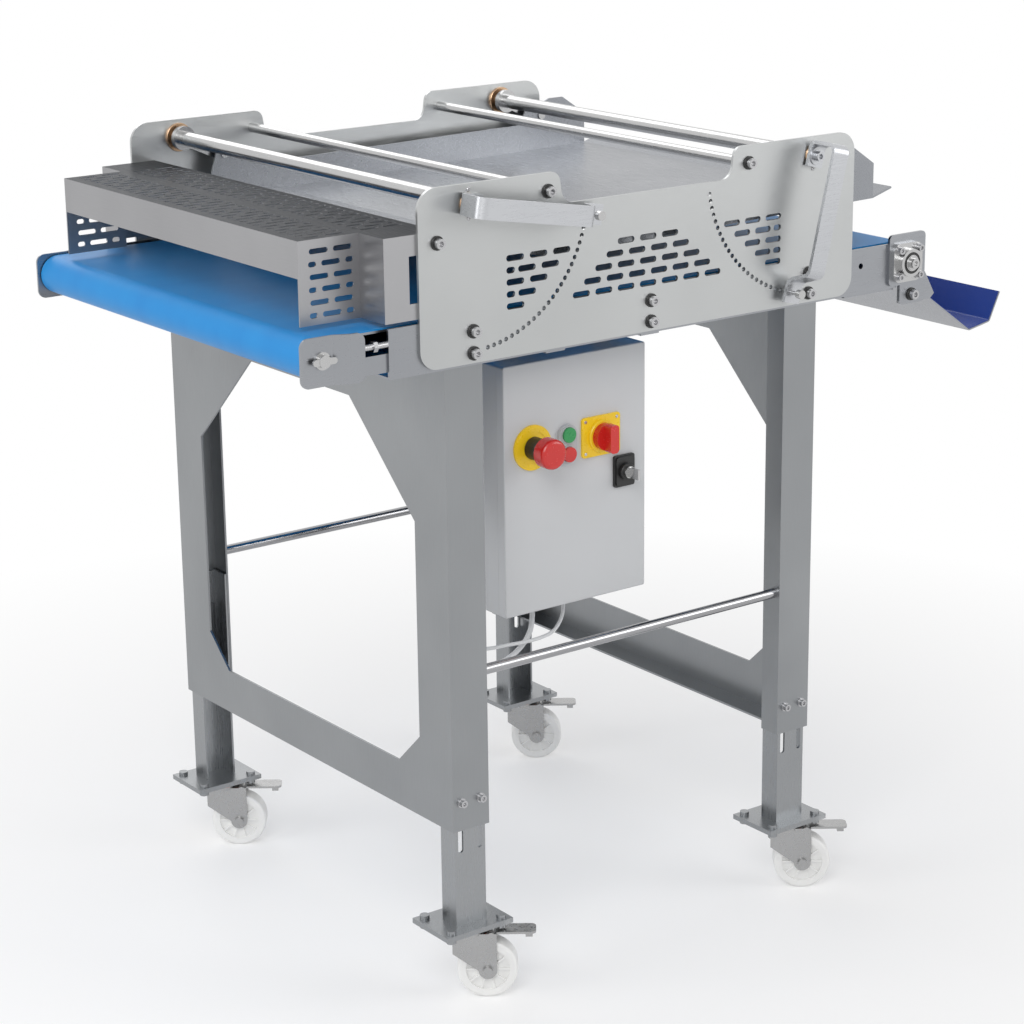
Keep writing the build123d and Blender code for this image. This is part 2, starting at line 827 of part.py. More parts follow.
with BuildPart() as gearmotor:
    motor_y0 = gear_y0 - motor_len
    box_y = gear_y0 - motor_len * 0.6
    block(motor_x - gear_half, motor_x + gear_half, gear_y0, gear_y1, motor_z - gear_low, gear_z1)
    gear_edges = gearmotor.edges().filter_by(Axis.Y)
    fillet(gear_edges.filter_by_position(Axis.Z, motor_z - gear_low - 1, motor_z), gear_low / 6)
    bar_y(motor_x, motor_z, motor_y0, gear_y0, motor_r)
    bar_y(motor_x, motor_z, motor_y0 - motor_cap_l, motor_y0, motor_cap_r)
    bar_y(motor_x, motor_z, gear_y1 - motor_cap_l + 1, gear_y1, output_r + run_gap, Mode.SUBTRACT)
    box_x = motor_x - box_out
    with Locations((box_x + box_side / 2, box_y, motor_z)):
        Box(box_side, 2 * box_half, 2 * box_half)
gearmotor.part.label = "gearmotor"
export_step(gearmotor.part, "parts/gearmotor.step")

# catch trough
with BuildPart() as trough:
    with BuildSketch(Plane.XZ):
        with BuildLine() as sheet_line:
            FilletPolyline(trough_top, trough_fold, trough_floor, trough_rim, radius=trough_bend)
            offset(amount=-trough_t, side=Side.RIGHT)
        make_face()
    extrude(amount=trough_half, both=True)
    trough_slope = (trough_fold[1] - trough_top[1]) / (trough_fold[0] - trough_top[0])
    hang = trough_hang
    with BuildSketch(Plane.XZ):
        with BuildLine():
            Polyline(
                trough_top,
                (trough_top[0] + hang, trough_top[1] + hang * trough_slope),
                (trough_top[0] + hang, trough_top[1] + hang * trough_slope - trough_t),
                (trough_top[0], trough_top[1] - trough_t),
                close=True,
            )
        make_face()
    extrude(amount=frame_half - sheet, both=True)
    for s in (-1, 1):
        with BuildSketch(Plane.XZ.offset(-s * (frame_half - sheet))):
            with BuildLine():
                Polyline(
                    (lug_x0 + cheek_edge, lug_z0 + cheek_edge),
                    (cheek_low_x, lug_z0),
                    (cheek_tip_x, cheek_tip_z),
                    (cheek_back_x, cheek_back_z),
                    (lug_x0 + cheek_edge, cheek_back_z),
                    close=True,
                )
            make_face()
            with Locations((lug_bolt_x, lug_bolt_z)):
                Circle(bolt_r, mode=Mode.SUBTRACT)
        extrude(amount=-s * sheet)
trough.part.label = "trough"
export_step(trough.part, "parts/trough.step")

with BuildPart() as trough_liner:
    with BuildSketch(Plane.XZ):
        with BuildLine() as liner_line:
            FilletPolyline(trough_top, trough_fold, trough_floor, trough_rim, radius=trough_bend)
            offset(amount=liner_t, side=Side.LEFT)
        make_face()
    extrude(amount=trough_half - 1, both=True)
trough_liner.part.label = "trough_liner"
export_step(trough_liner.part, "parts/trough_liner.step")

# infeed guard
with BuildPart() as infeed_guard:
    block(guard_x0, guard_step_x, -guard_half, guard_half, guard_z1 - thin, guard_z1)
    block(guard_step_x - thin, guard_x1, -frame_half, frame_half, guard_z1 - thin, guard_z1)
    block(guard_x0, guard_x0 + thin, -guard_half, guard_half, fascia_z0, guard_z1)
    for s in (-1, 1):
        y = s * (guard_half - thin / 2)
        block(guard_x0, guard_step_x, y - thin / 2, y + thin / 2, guard_z0, guard_z1)
        y = s * (guard_half + frame_half - thin) / 2
        half = (frame_half - guard_half + thin) / 2
        block(guard_step_x - thin, guard_step_x, y - half, y + half, guard_z0, guard_z1)
        y = s * (frame_half - thin / 2)
        block(guard_step_x - thin, guard_flange_x, y - thin / 2, y + thin / 2, guard_z0, guard_z1)
        block(guard_flange_x, guard_tab_x, y - thin / 2, y + thin / 2, guard_z0, guard_tab_z)
        block(guard_flange_x, guard_x1, y - thin / 2, y + thin / 2, guard_ear_z, guard_z1)
        bar_y(guard_bolt_x, guard_bolt_z, y - thin, y + thin, bolt_r, Mode.SUBTRACT)
    front_mid = (guard_x0 + guard_step_x) / 2 + hood_slot_space / 4
    rear_mid = (guard_step_x + guard_x1) / 2
    long_off = (hood_slot_len + hood_slot_space) / 2
    end_off = (hood_slot_len + hood_end_slot_len) / 2 + hood_slot_space
    with BuildSketch(Plane.XY.offset(guard_z1)):
        for k in range(hood_top_count):
            y = (k - (hood_top_count - 1) / 2) * hood_row_pitch
            for mid in (front_mid, rear_mid):
                if k % 2 == 0:
                    with Locations((mid - long_off, y), (mid + long_off, y)):
                        SlotOverall(hood_slot_len, hood_slot_w)
                else:
                    with Locations((mid, y)):
                        SlotOverall(hood_slot_len, hood_slot_w)
                    with Locations((mid - end_off, y), (mid + end_off, y)):
                        SlotOverall(hood_end_slot_len, hood_slot_w)
    extrude(amount=-thin, mode=Mode.SUBTRACT)
    with BuildSketch(Plane.XZ.offset(-guard_half)):
        for k in range(hood_row_count):
            z = guard_z1 - hood_margin - hood_slot_space / 4 - k * hood_row_pitch
            if k % 2 == 0:
                with Locations((front_mid - long_off, z), (front_mid + long_off, z)):
                    SlotOverall(hood_slot_len, hood_slot_w)
            else:
                with Locations((front_mid, z)):
                    SlotOverall(hood_slot_len, hood_slot_w)
                with Locations((front_mid - end_off, z), (front_mid + end_off, z)):
                    SlotOverall(hood_end_slot_len, hood_slot_w)
    extrude(amount=2 * guard_half, mode=Mode.SUBTRACT)
infeed_guard.part.label = "infeed_guard"
export_step(infeed_guard.part, "parts/infeed_guard.step")

# spacers, bushes and bolts
with BuildPart() as tie_rods:
    for x in tie_x:
        bar_y(x, tie_z, -frame_half, frame_half, tie_r)
        bar_y(x, tie_z, -frame_half, tie_thread - frame_half, bolt_r, Mode.SUBTRACT)
        bar_y(x, tie_z, frame_half - tie_thread, frame_half, bolt_r, Mode.SUBTRACT)
tie_rods.part.label = "tie_rods"
export_step(tie_rods.part, "parts/tie_rods.step")

with BuildPart() as shaft_bushes:
    for x in (-pivot_x, pivot_x):
        for s in (-1, 1):
            y = s * (plate_out + bush_flange_t / 2)
            bar_y(x, pivot_z, y - bush_flange_t / 2, y + bush_flange_t / 2, bush_flange_r)
            y = s * (plate_out - bush_len / 2)
            bar_y(x, pivot_z, y - bush_len / 2, y + bush_len / 2, bush_r)
        bore_y = plate_out + 2 * bush_flange_t
        bar_y(x, pivot_z, -bore_y, bore_y, lever_shaft_r + run_gap, Mode.SUBTRACT)
shaft_bushes.part.label = "shaft_bushes"
export_step(shaft_bushes.part, "parts/shaft_bushes.step")

# stand
leg_in = panel_half - sheet
with BuildPart() as end_panel_infeed:
    x = panel_x0
    block(x, x + sheet, -panel_half, panel_half, panel_z0, frame_z0)
    with BuildSketch(Plane.YZ.offset(x)):
        with BuildLine():
            Polyline(
                (-window_low_half, window_low_z),
                (window_low_half, window_low_z),
                (window_half, window_low_z1),
                (window_half, window_top_z0),
                (window_top_half, window_top_z),
                (-window_top_half, window_top_z),
                (-window_half, window_top_z0),
                (-window_half, window_low_z1),
                close=True,
            )
        make_face()
    extrude(amount=sheet, mode=Mode.SUBTRACT)
    block(x, x + return_deep, -return_half, return_half, panel_z0, panel_z0 + sheet)
    block(x, x + return_deep, -leg_in, leg_in, frame_z0 - sheet, frame_z0)
    for s in (-1, 1):
        y = s * (panel_half - sheet / 2)
        block(x, x + leg_face, y - sheet / 2, y + sheet / 2, panel_z0, frame_z0)
        y = s * (panel_half - lip_deep / 2)
        block(x + leg_face - sheet, x + leg_face, y - lip_deep / 2, y + lip_deep / 2, panel_z0, frame_z0)
    for dx in (sheet + leg_slot_in, leg_face - sheet - leg_slot_in):
        bar_y(x + dx, leg_bolt_z, -panel_half, panel_half, leg_bolt_r, Mode.SUBTRACT)
end_panel_infeed.part.label = "end_panel_infeed"
export_step(end_panel_infeed.part, "parts/end_panel_infeed.step")

panel_mid = (panel_x0 + panel_x1) / 2
mid_plane = Plane.YZ.offset(panel_mid)
with BuildPart() as end_panel_outfeed:
    add(mirror(end_panel_infeed.part, about=mid_plane))
end_panel_outfeed.part.label = "end_panel_outfeed"
export_step(end_panel_outfeed.part, "parts/end_panel_outfeed.step")

with BuildPart() as cross_rods:
    for y in (-rod_y, rod_y):
        bar_x(y, rod_z, panel_x0 + leg_face, panel_x1 - leg_face, rod_r)
cross_rods.part.label = "cross_rods"
export_step(cross_rods.part, "parts/cross_rods.step")

with BuildPart() as frame_bolts:
    for dx in (sheet + leg_slot_in, leg_face - sheet - leg_slot_in):
        for x in (panel_x0 + dx, panel_x1 - dx):
            nut_y = leg_in - 2 * slide_gap - sheet
            cap_screw(x, leg_bolt_z, panel_half, nut_y - leg_nut_t - 2, leg_bolt_r)
            bar_y(x, leg_bolt_z, -nut_y, leg_nut_t - nut_y, leg_nut_r)
    for x, z in low_bolts:
        cap_screw(x, z, plate_out, frame_half - sheet)
    for x, z in tie_spots:
        cap_screw(x, z, plate_out, frame_half - tie_thread + 2)
    cap_screw(guard_bolt_x, guard_bolt_z, plate_out, frame_half - thin - 2)
    cap_screw(lug_bolt_x, lug_bolt_z, plate_out, frame_half - sheet - 2)
    for x in (drive_x - bearing_pitch / 2, drive_x + bearing_pitch / 2):
        for z in (axis_z - bearing_pitch / 2, axis_z + bearing_pitch / 2):
            cap_screw(x, z, plate_out + bearing_flange_t, frame_half + hub_gap, leg_bolt_r)
    add(mirror(frame_bolts.part, about=Plane.XZ))
frame_bolts.part.label = "frame_bolts"
export_step(frame_bolts.part, "parts/frame_bolts.step")

# telescopic legs, each with its foot plate and the fixed top of its caster
leg_x = panel_x0 + sheet + (leg_face - 2 * sheet) / 2
leg_y1 = leg_in - slide_gap
with BuildPart() as leg_near_infeed:
    block(leg_x - leg_w / 2, leg_x + leg_w / 2, -leg_y1, sheet - leg_y1, foot_z, leg_top)
    for s in (-1, 1):
        x = leg_x + s * (leg_w / 2 - sheet / 2)
        block(x - sheet / 2, x + sheet / 2, -leg_y1, leg_deep - leg_y1, foot_z, leg_top)
    with BuildSketch(Plane.XZ.offset(leg_y1 - sheet)):
        slot_mid = (leg_slot_z[0] + leg_slot_z[1]) / 2
        slot_half = leg_face / 2 - sheet - leg_slot_in
        with Locations((leg_x - slot_half, slot_mid), (leg_x + slot_half, slot_mid)):
            SlotOverall(leg_slot_z[1] - leg_slot_z[0], leg_slot_w, rotation=90)
    extrude(amount=sheet, mode=Mode.SUBTRACT)
    foot_x0 = leg_x - foot_l / 2
    foot_x1 = leg_x + foot_l / 2
    foot_y0 = -caster_y - foot_w / 2
    foot_y1 = foot_w / 2 - caster_y
    race_z = foot_z - top_plate_t - race_h
    pin_z = race_z - crown_t - kingpin_head_h
    block(foot_x0, foot_x1, foot_y0, foot_y1, foot_z, foot_z + foot_t)
    block(foot_x0, foot_x1, foot_y0, foot_y1, foot_z - top_plate_t, foot_z)
    bar_z(leg_x, -caster_y, race_z, foot_z - top_plate_t, race_r)
    bar_z(leg_x, -caster_y, pin_z, foot_z - top_plate_t, kingpin_r)
    bar_z(leg_x, -caster_y, pin_z, race_z - crown_t - 2 * run_gap, kingpin_head_r)
    for dx in (-foot_bolt_x, foot_bolt_x):
        for dy in (-foot_bolt_y, foot_bolt_y):
            y = dy - caster_y
            bar_z(leg_x + dx, y, foot_z + foot_t, foot_z + foot_t + race_h, foot_bolt_r)
            bar_z(leg_x + dx, y, race_z - 1, foot_z - top_plate_t, foot_bolt_r)
leg_near_infeed.part.label = "leg_near_infeed"
export_step(leg_near_infeed.part, "parts/leg_near_infeed.step")

with BuildPart() as leg_far_infeed:
    add(mirror(leg_near_infeed.part, about=Plane.XZ))
leg_far_infeed.part.label = "leg_far_infeed"
export_step(leg_far_infeed.part, "parts/leg_far_infeed.step")

with BuildPart() as leg_near_outfeed:
    add(mirror(leg_near_infeed.part, about=mid_plane))
leg_near_outfeed.part.label = "leg_near_outfeed"
export_step(leg_near_outfeed.part, "parts/leg_near_outfeed.step")

with BuildPart() as leg_far_outfeed:
    add(mirror(leg_near_outfeed.part, about=Plane.XZ))
leg_far_outfeed.part.label = "leg_far_outfeed"
export_step(leg_far_outfeed.part, "parts/leg_far_outfeed.step")

# swivel casters, all trailing the same way
fork_top = foot_z - top_plate_t - race_h - run_gap
cheek_in = wheel_w / 2 + fork_gap
turn = math.radians(trail_turn)


def at_caster(u, v, z):
    # u runs along the trail, v across it
    px = leg_x + u * math.cos(turn) - v * math.sin(turn)
    py = -caster_y + u * math.sin(turn) + v * math.cos(turn)
    return Location((px, py, z), (0, 0, trail_turn))


def caster_box(u0, u1, v0, v1, z0, z1, mode=Mode.ADD):
    with Locations(at_caster((u0 + u1) / 2, (v0 + v1) / 2, (z0 + z1) / 2)):
        Box(u1 - u0, v1 - v0, z1 - z0, mode=mode)


def caster_pin(u, z, v0, v1, r, mode=Mode.ADD):
    with Locations(at_caster(u, (v0 + v1) / 2, z)):
        Cylinder(r, v1 - v0, rotation=(90, 0, 0), mode=mode)


crown_z = fork_top - crown_t
cheek_z = wheel_r + pedal_shelf
cheek_out = cheek_in + fork_t
pedal_z = fork_top - pedal_drop
pedal_half = pedal_w / 2
trail_dir = (math.cos(turn), math.sin(turn), 0)
across_dir = (math.sin(turn), -math.cos(turn), 0)
wheel_plane = Plane(origin=(leg_x, -caster_y, 0), x_dir=trail_dir, z_dir=across_dir)
with BuildPart() as caster_fork_near_infeed:
    bar_z(leg_x, -caster_y, crown_z, fork_top, race_r - 2)
    caster_box(-fork_back, trail + fork_ahead, -cheek_out, cheek_out, crown_z, crown_z + fork_t)
    for s in (-1, 1):
        with BuildSketch(wheel_plane.offset(s * cheek_in)):
            with BuildLine():
                Polyline(
                    (-fork_back, crown_z + fork_t),
                    (trail + fork_ahead, crown_z + fork_t),
                    (trail + fork_ahead, wheel_r),
                    (trail - fork_ahead, wheel_r),
                    (-fork_back, crown_z + fork_t - fork_deep),
                    close=True,
                )
            make_face()
            with Locations((trail, wheel_r)):
                Circle(axle_boss_r)
        extrude(amount=s * fork_t)
        v = s * (cheek_out + axle_nut_t / 2)
        caster_pin(trail, wheel_r, v - axle_nut_t / 2, v + axle_nut_t / 2, axle_nut_r)
    caster_pin(trail, wheel_r, -cheek_out, cheek_out, wheel_bore)
    bar_z(leg_x, -caster_y, crown_z - 1, fork_top, kingpin_r + run_gap, Mode.SUBTRACT)
    slot_v = pedal_half + pedal_play
    slot_u = trail + fork_ahead + 2
    caster_box(pedal_slot_u, slot_u, -slot_v, slot_v, crown_z - 1, fork_top + 1, Mode.SUBTRACT)
    caster_pin(pedal_pin_u, pedal_z, -cheek_out, -slot_v, pedal_pin_r + 2)
    caster_pin(pedal_pin_u, pedal_z, slot_v, cheek_out, pedal_pin_r + 2)
    caster_pin(pedal_pin_u, pedal_z, -cheek_out, cheek_out, pedal_pin_r)
caster_fork_near_infeed.part.label = "caster_fork_near_infeed"
export_step(caster_fork_near_infeed.part, "parts/caster_fork_near_infeed.step")

with BuildPart() as caster_wheel_near_infeed:
    caster_pin(trail, wheel_r, -wheel_w / 2, wheel_w / 2, wheel_r)
    wheel_rims = caster_wheel_near_infeed.edges().filter_by(GeomType.CIRCLE)
    fillet([e for e in wheel_rims if e.radius > wheel_r - 1], wheel_round)
    for s in (-1, 1):
        v = s * (wheel_w - wheel_hub_deep) / 2
        v0 = v - wheel_hub_deep / 2
        v1 = v + wheel_hub_deep / 2
        caster_pin(trail, wheel_r, v0, v1, wheel_dish_r, Mode.SUBTRACT)
        caster_pin(trail, wheel_r, v0, v1, wheel_hub_r)
    caster_pin(trail, wheel_r, -wheel_w / 2, wheel_w / 2, wheel_bore + run_gap, Mode.SUBTRACT)
caster_wheel_near_infeed.part.label = "caster_wheel_near_infeed"
export_step(caster_wheel_near_infeed.part, "parts/caster_wheel_near_infeed.step")

with BuildPart() as caster_pedal_near_infeed:
    hub_r = pedal_pin_r + pedal_hub_t
    pedal_top = pedal_z + pedal_t
    caster_box(pedal_pin_u, pedal_u1, -pedal_half, pedal_half, pedal_z, pedal_top)
    tip_edges = caster_pedal_near_infeed.edges().filter_by(Axis.Z)
    fillet(tip_edges.sort_by(Axis((leg_x, -caster_y, 0), trail_dir))[-2:], pedal_tip / 2)
    tip_u = pedal_u1 - pedal_tip
    caster_box(tip_u, tip_u + pedal_tip / 1.5, -pedal_w / 3, pedal_w / 3, pedal_z - pedal_tip_h, pedal_z)
    caster_pin(pedal_pin_u, pedal_z, -pedal_half, pedal_half, hub_r)
    caster_pin(pedal_pin_u, pedal_z, -pedal_half, pedal_half, pedal_pin_r + run_gap, Mode.SUBTRACT)
caster_pedal_near_infeed.part.label = "caster_pedal_near_infeed"
export_step(caster_pedal_near_infeed.part, "parts/caster_pedal_near_infeed.step")

leg_x2 = 2 * panel_mid - leg_x
shift_far = Location((0, 2 * caster_y, 0))
shift_out = Location((leg_x2 - leg_x, 0, 0))
shift_both = Location((leg_x2 - leg_x, 2 * caster_y, 0))

with BuildPart() as caster_fork_far_infeed:
    add(caster_fork_near_infeed.part.moved(shift_far))
caster_fork_far_infeed.part.label = "caster_fork_far_infeed"
export_step(caster_fork_far_infeed.part, "parts/caster_fork_far_infeed.step")

with BuildPart() as caster_fork_near_outfeed:
    add(caster_fork_near_infeed.part.moved(shift_out))
caster_fork_near_outfeed.part.label = "caster_fork_near_outfeed"
export_step(caster_fork_near_outfeed.part, "parts/caster_fork_near_outfeed.step")

with BuildPart() as caster_fork_far_outfeed:
    add(caster_fork_near_infeed.part.moved(shift_both))
caster_fork_far_outfeed.part.label = "caster_fork_far_outfeed"
export_step(caster_fork_far_outfeed.part, "parts/caster_fork_far_outfeed.step")

with BuildPart() as caster_wheel_far_infeed:
    add(caster_wheel_near_infeed.part.moved(shift_far))
caster_wheel_far_infeed.part.label = "caster_wheel_far_infeed"
export_step(caster_wheel_far_infeed.part, "parts/caster_wheel_far_infeed.step")

with BuildPart() as caster_wheel_near_outfeed:
    add(caster_wheel_near_infeed.part.moved(shift_out))
caster_wheel_near_outfeed.part.label = "caster_wheel_near_outfeed"
export_step(caster_wheel_near_outfeed.part, "parts/caster_wheel_near_outfeed.step")

with BuildPart() as caster_wheel_far_outfeed:
    add(caster_wheel_near_infeed.part.moved(shift_both))
caster_wheel_far_outfeed.part.label = "caster_wheel_far_outfeed"
export_step(caster_wheel_far_outfeed.part, "parts/caster_wheel_far_outfeed.step")

with BuildPart() as caster_pedal_far_infeed:
    add(caster_pedal_near_infeed.part.moved(shift_far))
caster_pedal_far_infeed.part.label = "caster_pedal_far_infeed"
export_step(caster_pedal_far_infeed.part, "parts/caster_pedal_far_infeed.step")

with BuildPart() as caster_pedal_near_outfeed:
    add(caster_pedal_near_infeed.part.moved(shift_out))
caster_pedal_near_outfeed.part.label = "caster_pedal_near_outfeed"
export_step(caster_pedal_near_outfeed.part, "parts/caster_pedal_near_outfeed.step")

with BuildPart() as caster_pedal_far_outfeed:
    add(caster_pedal_near_infeed.part.moved(shift_both))
caster_pedal_far_outfeed.part.label = "caster_pedal_far_outfeed"
export_step(caster_pedal_far_outfeed.part, "parts/caster_pedal_far_outfeed.step")

# lever shafts with their arms
a = math.radians(arm_angle)
pin_dx = arm_len * math.cos(a)
pin_dz = -arm_len * math.sin(a)
with BuildPart() as infeed_shaft:
    bar_y(-pivot_x, pivot_z, -lever_hub_in, plate_out + lever_t, lever_shaft_r)
    for s in (-1, 1):
        y = s * (arm_in + arm_t / 2)
        bar_y(-pivot_x, pivot_z, y - arm_t / 2, y + arm_t / 2, arm_hub_r)
        with BuildSketch(Plane.XZ.offset(-y - arm_t / 2)):
            with Locations(Location((-pivot_x + pin_dx / 2, pivot_z + pin_dz / 2), -arm_angle)):
                SlotCenterToCenter(arm_len, arm_w)
        extrude(amount=arm_t)
        half = (arm_in - board_half + 2 * board_t) / 2
        y = s * (arm_in - half)
        bar_y(-pivot_x + pin_dx, pivot_z + pin_dz, y - half, y + half, arm_pin_r)
infeed_shaft.part.label = "infeed_shaft"
export_step(infeed_shaft.part, "parts/infeed_shaft.step")

with BuildPart() as outfeed_shaft:
    add(infeed_shaft.part.moved(Location((2 * pivot_x, 0, 0))))
outfeed_shaft.part.label = "outfeed_shaft"
export_step(outfeed_shaft.part, "parts/outfeed_shaft.step")

# levers: bent bar with a hub plate, a grip and a foot carrying the index pin
level = math.cos(math.radians(infeed_angle))
fall = math.sin(math.radians(infeed_angle))
infeed_plane = Plane(origin=(-pivot_x, 0, pivot_z), x_dir=(level, 0, -fall), z_dir=(-fall, 0, -level))
level = -math.cos(math.radians(outfeed_angle))
fall = math.sin(math.radians(outfeed_angle))
outfeed_plane = Plane(origin=(pivot_x, 0, pivot_z), x_dir=(level, 0, -fall), z_dir=(-fall, 0, -level))
hub_face = lever_hub_in + lever_t
hub_screw = hub_face + washer_t + bolt_head_r
lever_path = (
    (lever_ahead, lever_hub_in),
    (-lever_back, lever_hub_in),
    (-lever_back, lever_out),
    (lever_grip_end, lever_out),
    (index_r - foot_ahead, lever_foot_in + lever_t),
    (index_r + foot_ahead, lever_foot_in + lever_t),
)
with BuildPart() as infeed_lever:
    with BuildSketch(infeed_plane):
        with BuildLine() as lever_line:
            FilletPolyline(*lever_path, radius=lever_bend)
            offset(amount=lever_t, side=Side.RIGHT)
        make_face()
    extrude(amount=lever_w / 2, both=True)
    x, z = arc_spot(-1, infeed_angle, index_r)
    bar_y(x, z, -lever_foot_in - 2 * lever_t, lever_t - lever_foot_in, index_hole_r + run_gap, Mode.SUBTRACT)
    bar_y(-pivot_x, pivot_z, -hub_face - washer_t, -hub_face, hub_washer_r)
    bar_y(-pivot_x, pivot_z, -hub_screw, -hub_face - washer_t, bolt_head_r)
    bar_y(-pivot_x, pivot_z, -hub_screw, bolt_socket_h - hub_screw, bolt_socket_r, Mode.SUBTRACT)
infeed_lever.part.label = "infeed_lever"
export_step(infeed_lever.part, "parts/infeed_lever.step")

with BuildPart() as outfeed_lever:
    with BuildSketch(outfeed_plane):
        with BuildLine() as lever_line_2:
            FilletPolyline(*lever_path, radius=lever_bend)
            offset(amount=lever_t, side=Side.RIGHT)
        make_face()
    extrude(amount=lever_w / 2, both=True)
    x, z = arc_spot(1, outfeed_angle, index_r)
    bar_y(x, z, -lever_foot_in - 2 * lever_t, lever_t - lever_foot_in, index_hole_r + run_gap, Mode.SUBTRACT)
    bar_y(pivot_x, pivot_z, -hub_face - washer_t, -hub_face, hub_washer_r)
    bar_y(pivot_x, pivot_z, -hub_screw, -hub_face - washer_t, bolt_head_r)
    bar_y(pivot_x, pivot_z, -hub_screw, bolt_socket_h - hub_screw, bolt_socket_r, Mode.SUBTRACT)
outfeed_lever.part.label = "outfeed_lever"
export_step(outfeed_lever.part, "parts/outfeed_lever.step")

with BuildPart() as infeed_pin:
    x, z = arc_spot(-1, infeed_angle, index_r)
    knob_y = lever_foot_in + lever_t + pin_back
    bar_y(x, z, -knob_y, -plate_out - pin_tip_gap, index_hole_r - run_gap)
    bar_y(x, z, -knob_y - pin_knob_h, -knob_y, pin_knob_r)
infeed_pin.part.label = "infeed_pin"
export_step(infeed_pin.part, "parts/infeed_pin.step")

with BuildPart() as outfeed_pin:
    x, z = arc_spot(1, outfeed_angle, index_r)
    knob_y = lever_foot_in + lever_t + pin_back
    bar_y(x, z, -knob_y, -plate_out - pin_tip_gap, index_hole_r - run_gap)
    bar_y(x, z, -knob_y - pin_knob_h, -knob_y, pin_knob_r)
outfeed_pin.part.label = "outfeed_pin"
export_step(outfeed_pin.part, "parts/outfeed_pin.step")

# pressing board: a tray hung between the plates
pin_in = (pin_dx - pivot_x, pivot_z + pin_dz)
pin_out = (pin_dx + pivot_x, pivot_z + pin_dz)
ear = [(run - pivot_x, pivot_z - drop) for run, drop in zip(board_ear_runs, board_ear_drops)]
lug = [(run + pivot_x, pivot_z - drop) for run, drop in zip(board_lug_runs, board_lug_drops)]
with BuildPart() as pressing_board:
    with BuildSketch(Plane.XZ):
        with BuildLine() as floor_line:
            FilletPolyline(
                (board_ramp_x, board_ramp_z),
                (board_fold_x, board_fold_z),
                (board_end_x, board_end_z),
                (board_lip_x, board_lip_z),
                radius=board_bend,
            )
            offset(amount=board_t, side=Side.LEFT)
        make_face()
    extrude(amount=board_half, both=True)
    for s in (-1, 1):
        with BuildSketch(Plane.XZ.offset(-s * board_half)):
            with BuildLine():
                Polyline(
                    (board_fold_x, board_fold_z),
                    (board_end_x, board_end_z),
                    (board_end_x, board_end_z + board_rim),
                    *reversed(lug),
                    *reversed(ear),
                    (ear[0][0], board_ramp_z - board_bend),
                    close=True,
                )
            make_face()
            with Locations(pin_in, pin_out):
                Circle(arm_pin_r + run_gap, mode=Mode.SUBTRACT)
        extrude(amount=s * board_t)
pressing_board.part.label = "pressing_board"
export_step(pressing_board.part, "parts/pressing_board.step")

# control cabinet
in_x0 = cab_x0 + cab_t
in_x1 = cab_x1 - cab_t
in_z0 = cab_z0 + cab_t
in_z1 = cab_z1 - cab_t
with BuildPart() as cabinet_body:
    block(cab_x0, cab_x1, cab_front, cab_back, cab_z0, cab_z1)
    fillet(cabinet_body.edges().filter_by(Axis.Y), cab_round)
    block(in_x0, in_x1, cab_front, cab_back - cab_t, in_z0, in_z1, Mode.SUBTRACT)
cabinet_body.part.label = "cabinet_body"
export_step(cabinet_body.part, "parts/cabinet_body.step")

with BuildPart() as cabinet_door:
    block(cab_x0, cab_x1, door_face, cab_front - slide_gap, cab_z0, cab_z1)
    fillet(cabinet_door.edges().filter_by(Axis.Y), cab_round)
    rim_edges = cabinet_door.edges().filter_by_position(Axis.Y, door_face - 0.1, door_face + 0.1)
    fillet(rim_edges, cab_round - 1)
    block(in_x0, in_x1, door_face + cab_t, cab_front - slide_gap, in_z0, in_z1, Mode.SUBTRACT)
cabinet_door.part.label = "cabinet_door"
export_step(cabinet_door.part, "parts/cabinet_door.step")

# sheet hangers under the conveyor frame, for the gearmotor and for the cabinet
with BuildPart() as hangers:
    span = frame_half - sheet - 1
    block(motor_x - gear_half - 10, frame_x1 - 2, -span, span, gear_z1, frame_z0)
    notch_x = motor_x - gear_half + 10
    block(notch_x, frame_x1, chain_y0 - chain_t, frame_half, gear_z1, frame_z0, Mode.SUBTRACT)
    for x in (cab_x0 + hanger_in, cab_x1 - hanger_in):
        x0 = x - hanger_half
        x1 = x + hanger_half
        block(x0, x1, -frame_half + sheet, hanger_y, frame_z0 - sheet, frame_z0)
        block(x0, x1, hanger_y - sheet, hanger_y, cab_z1, frame_z0)
        block(x0, x1, hanger_y, hanger_y + hanger_foot, cab_z1, cab_z1 + sheet)
hangers.part.label = "hangers"
export_step(hangers.part, "parts/hangers.step")

with BuildPart() as switch_bodies:
    pad_low = button_zs[1] - button_edge
    pad_high = button_zs[0] + button_edge
    bar_y(estop_x, estop_z, door_face - 3, door_face, estop_r)
    bar_y(estop_x, estop_z, door_face - 24, door_face - 3, estop_r / 2)
    bar_y(estop_x, estop_z, door_face - 24, door_face, estop_r / 5 + run_gap, Mode.SUBTRACT)
    pad_z = (pad_low + pad_high) / 2
    pad(button_x, pad_z, button_w, pad_high - pad_low, door_face - 5, door_face, button_w / 2.1)
    for z in button_zs:
        bar_y(button_x, z, door_face - 5, door_face, button_r + run_gap, Mode.SUBTRACT)
    pad(switch_x, switch_z, switch_w, switch_h, door_face - 3, door_face, 4)
    bar_y(switch_x, switch_z, door_face - 8, door_face - 3, switch_ring_r)
    pad(key_x, key_z, key_w, key_h, door_face - 6, door_face, 3)
    bar_y(key_x, key_z, door_face - 12, door_face - 6, key_w / 3)
switch_bodies.part.label = "switch_bodies"
export_step(switch_bodies.part, "parts/switch_bodies.step")

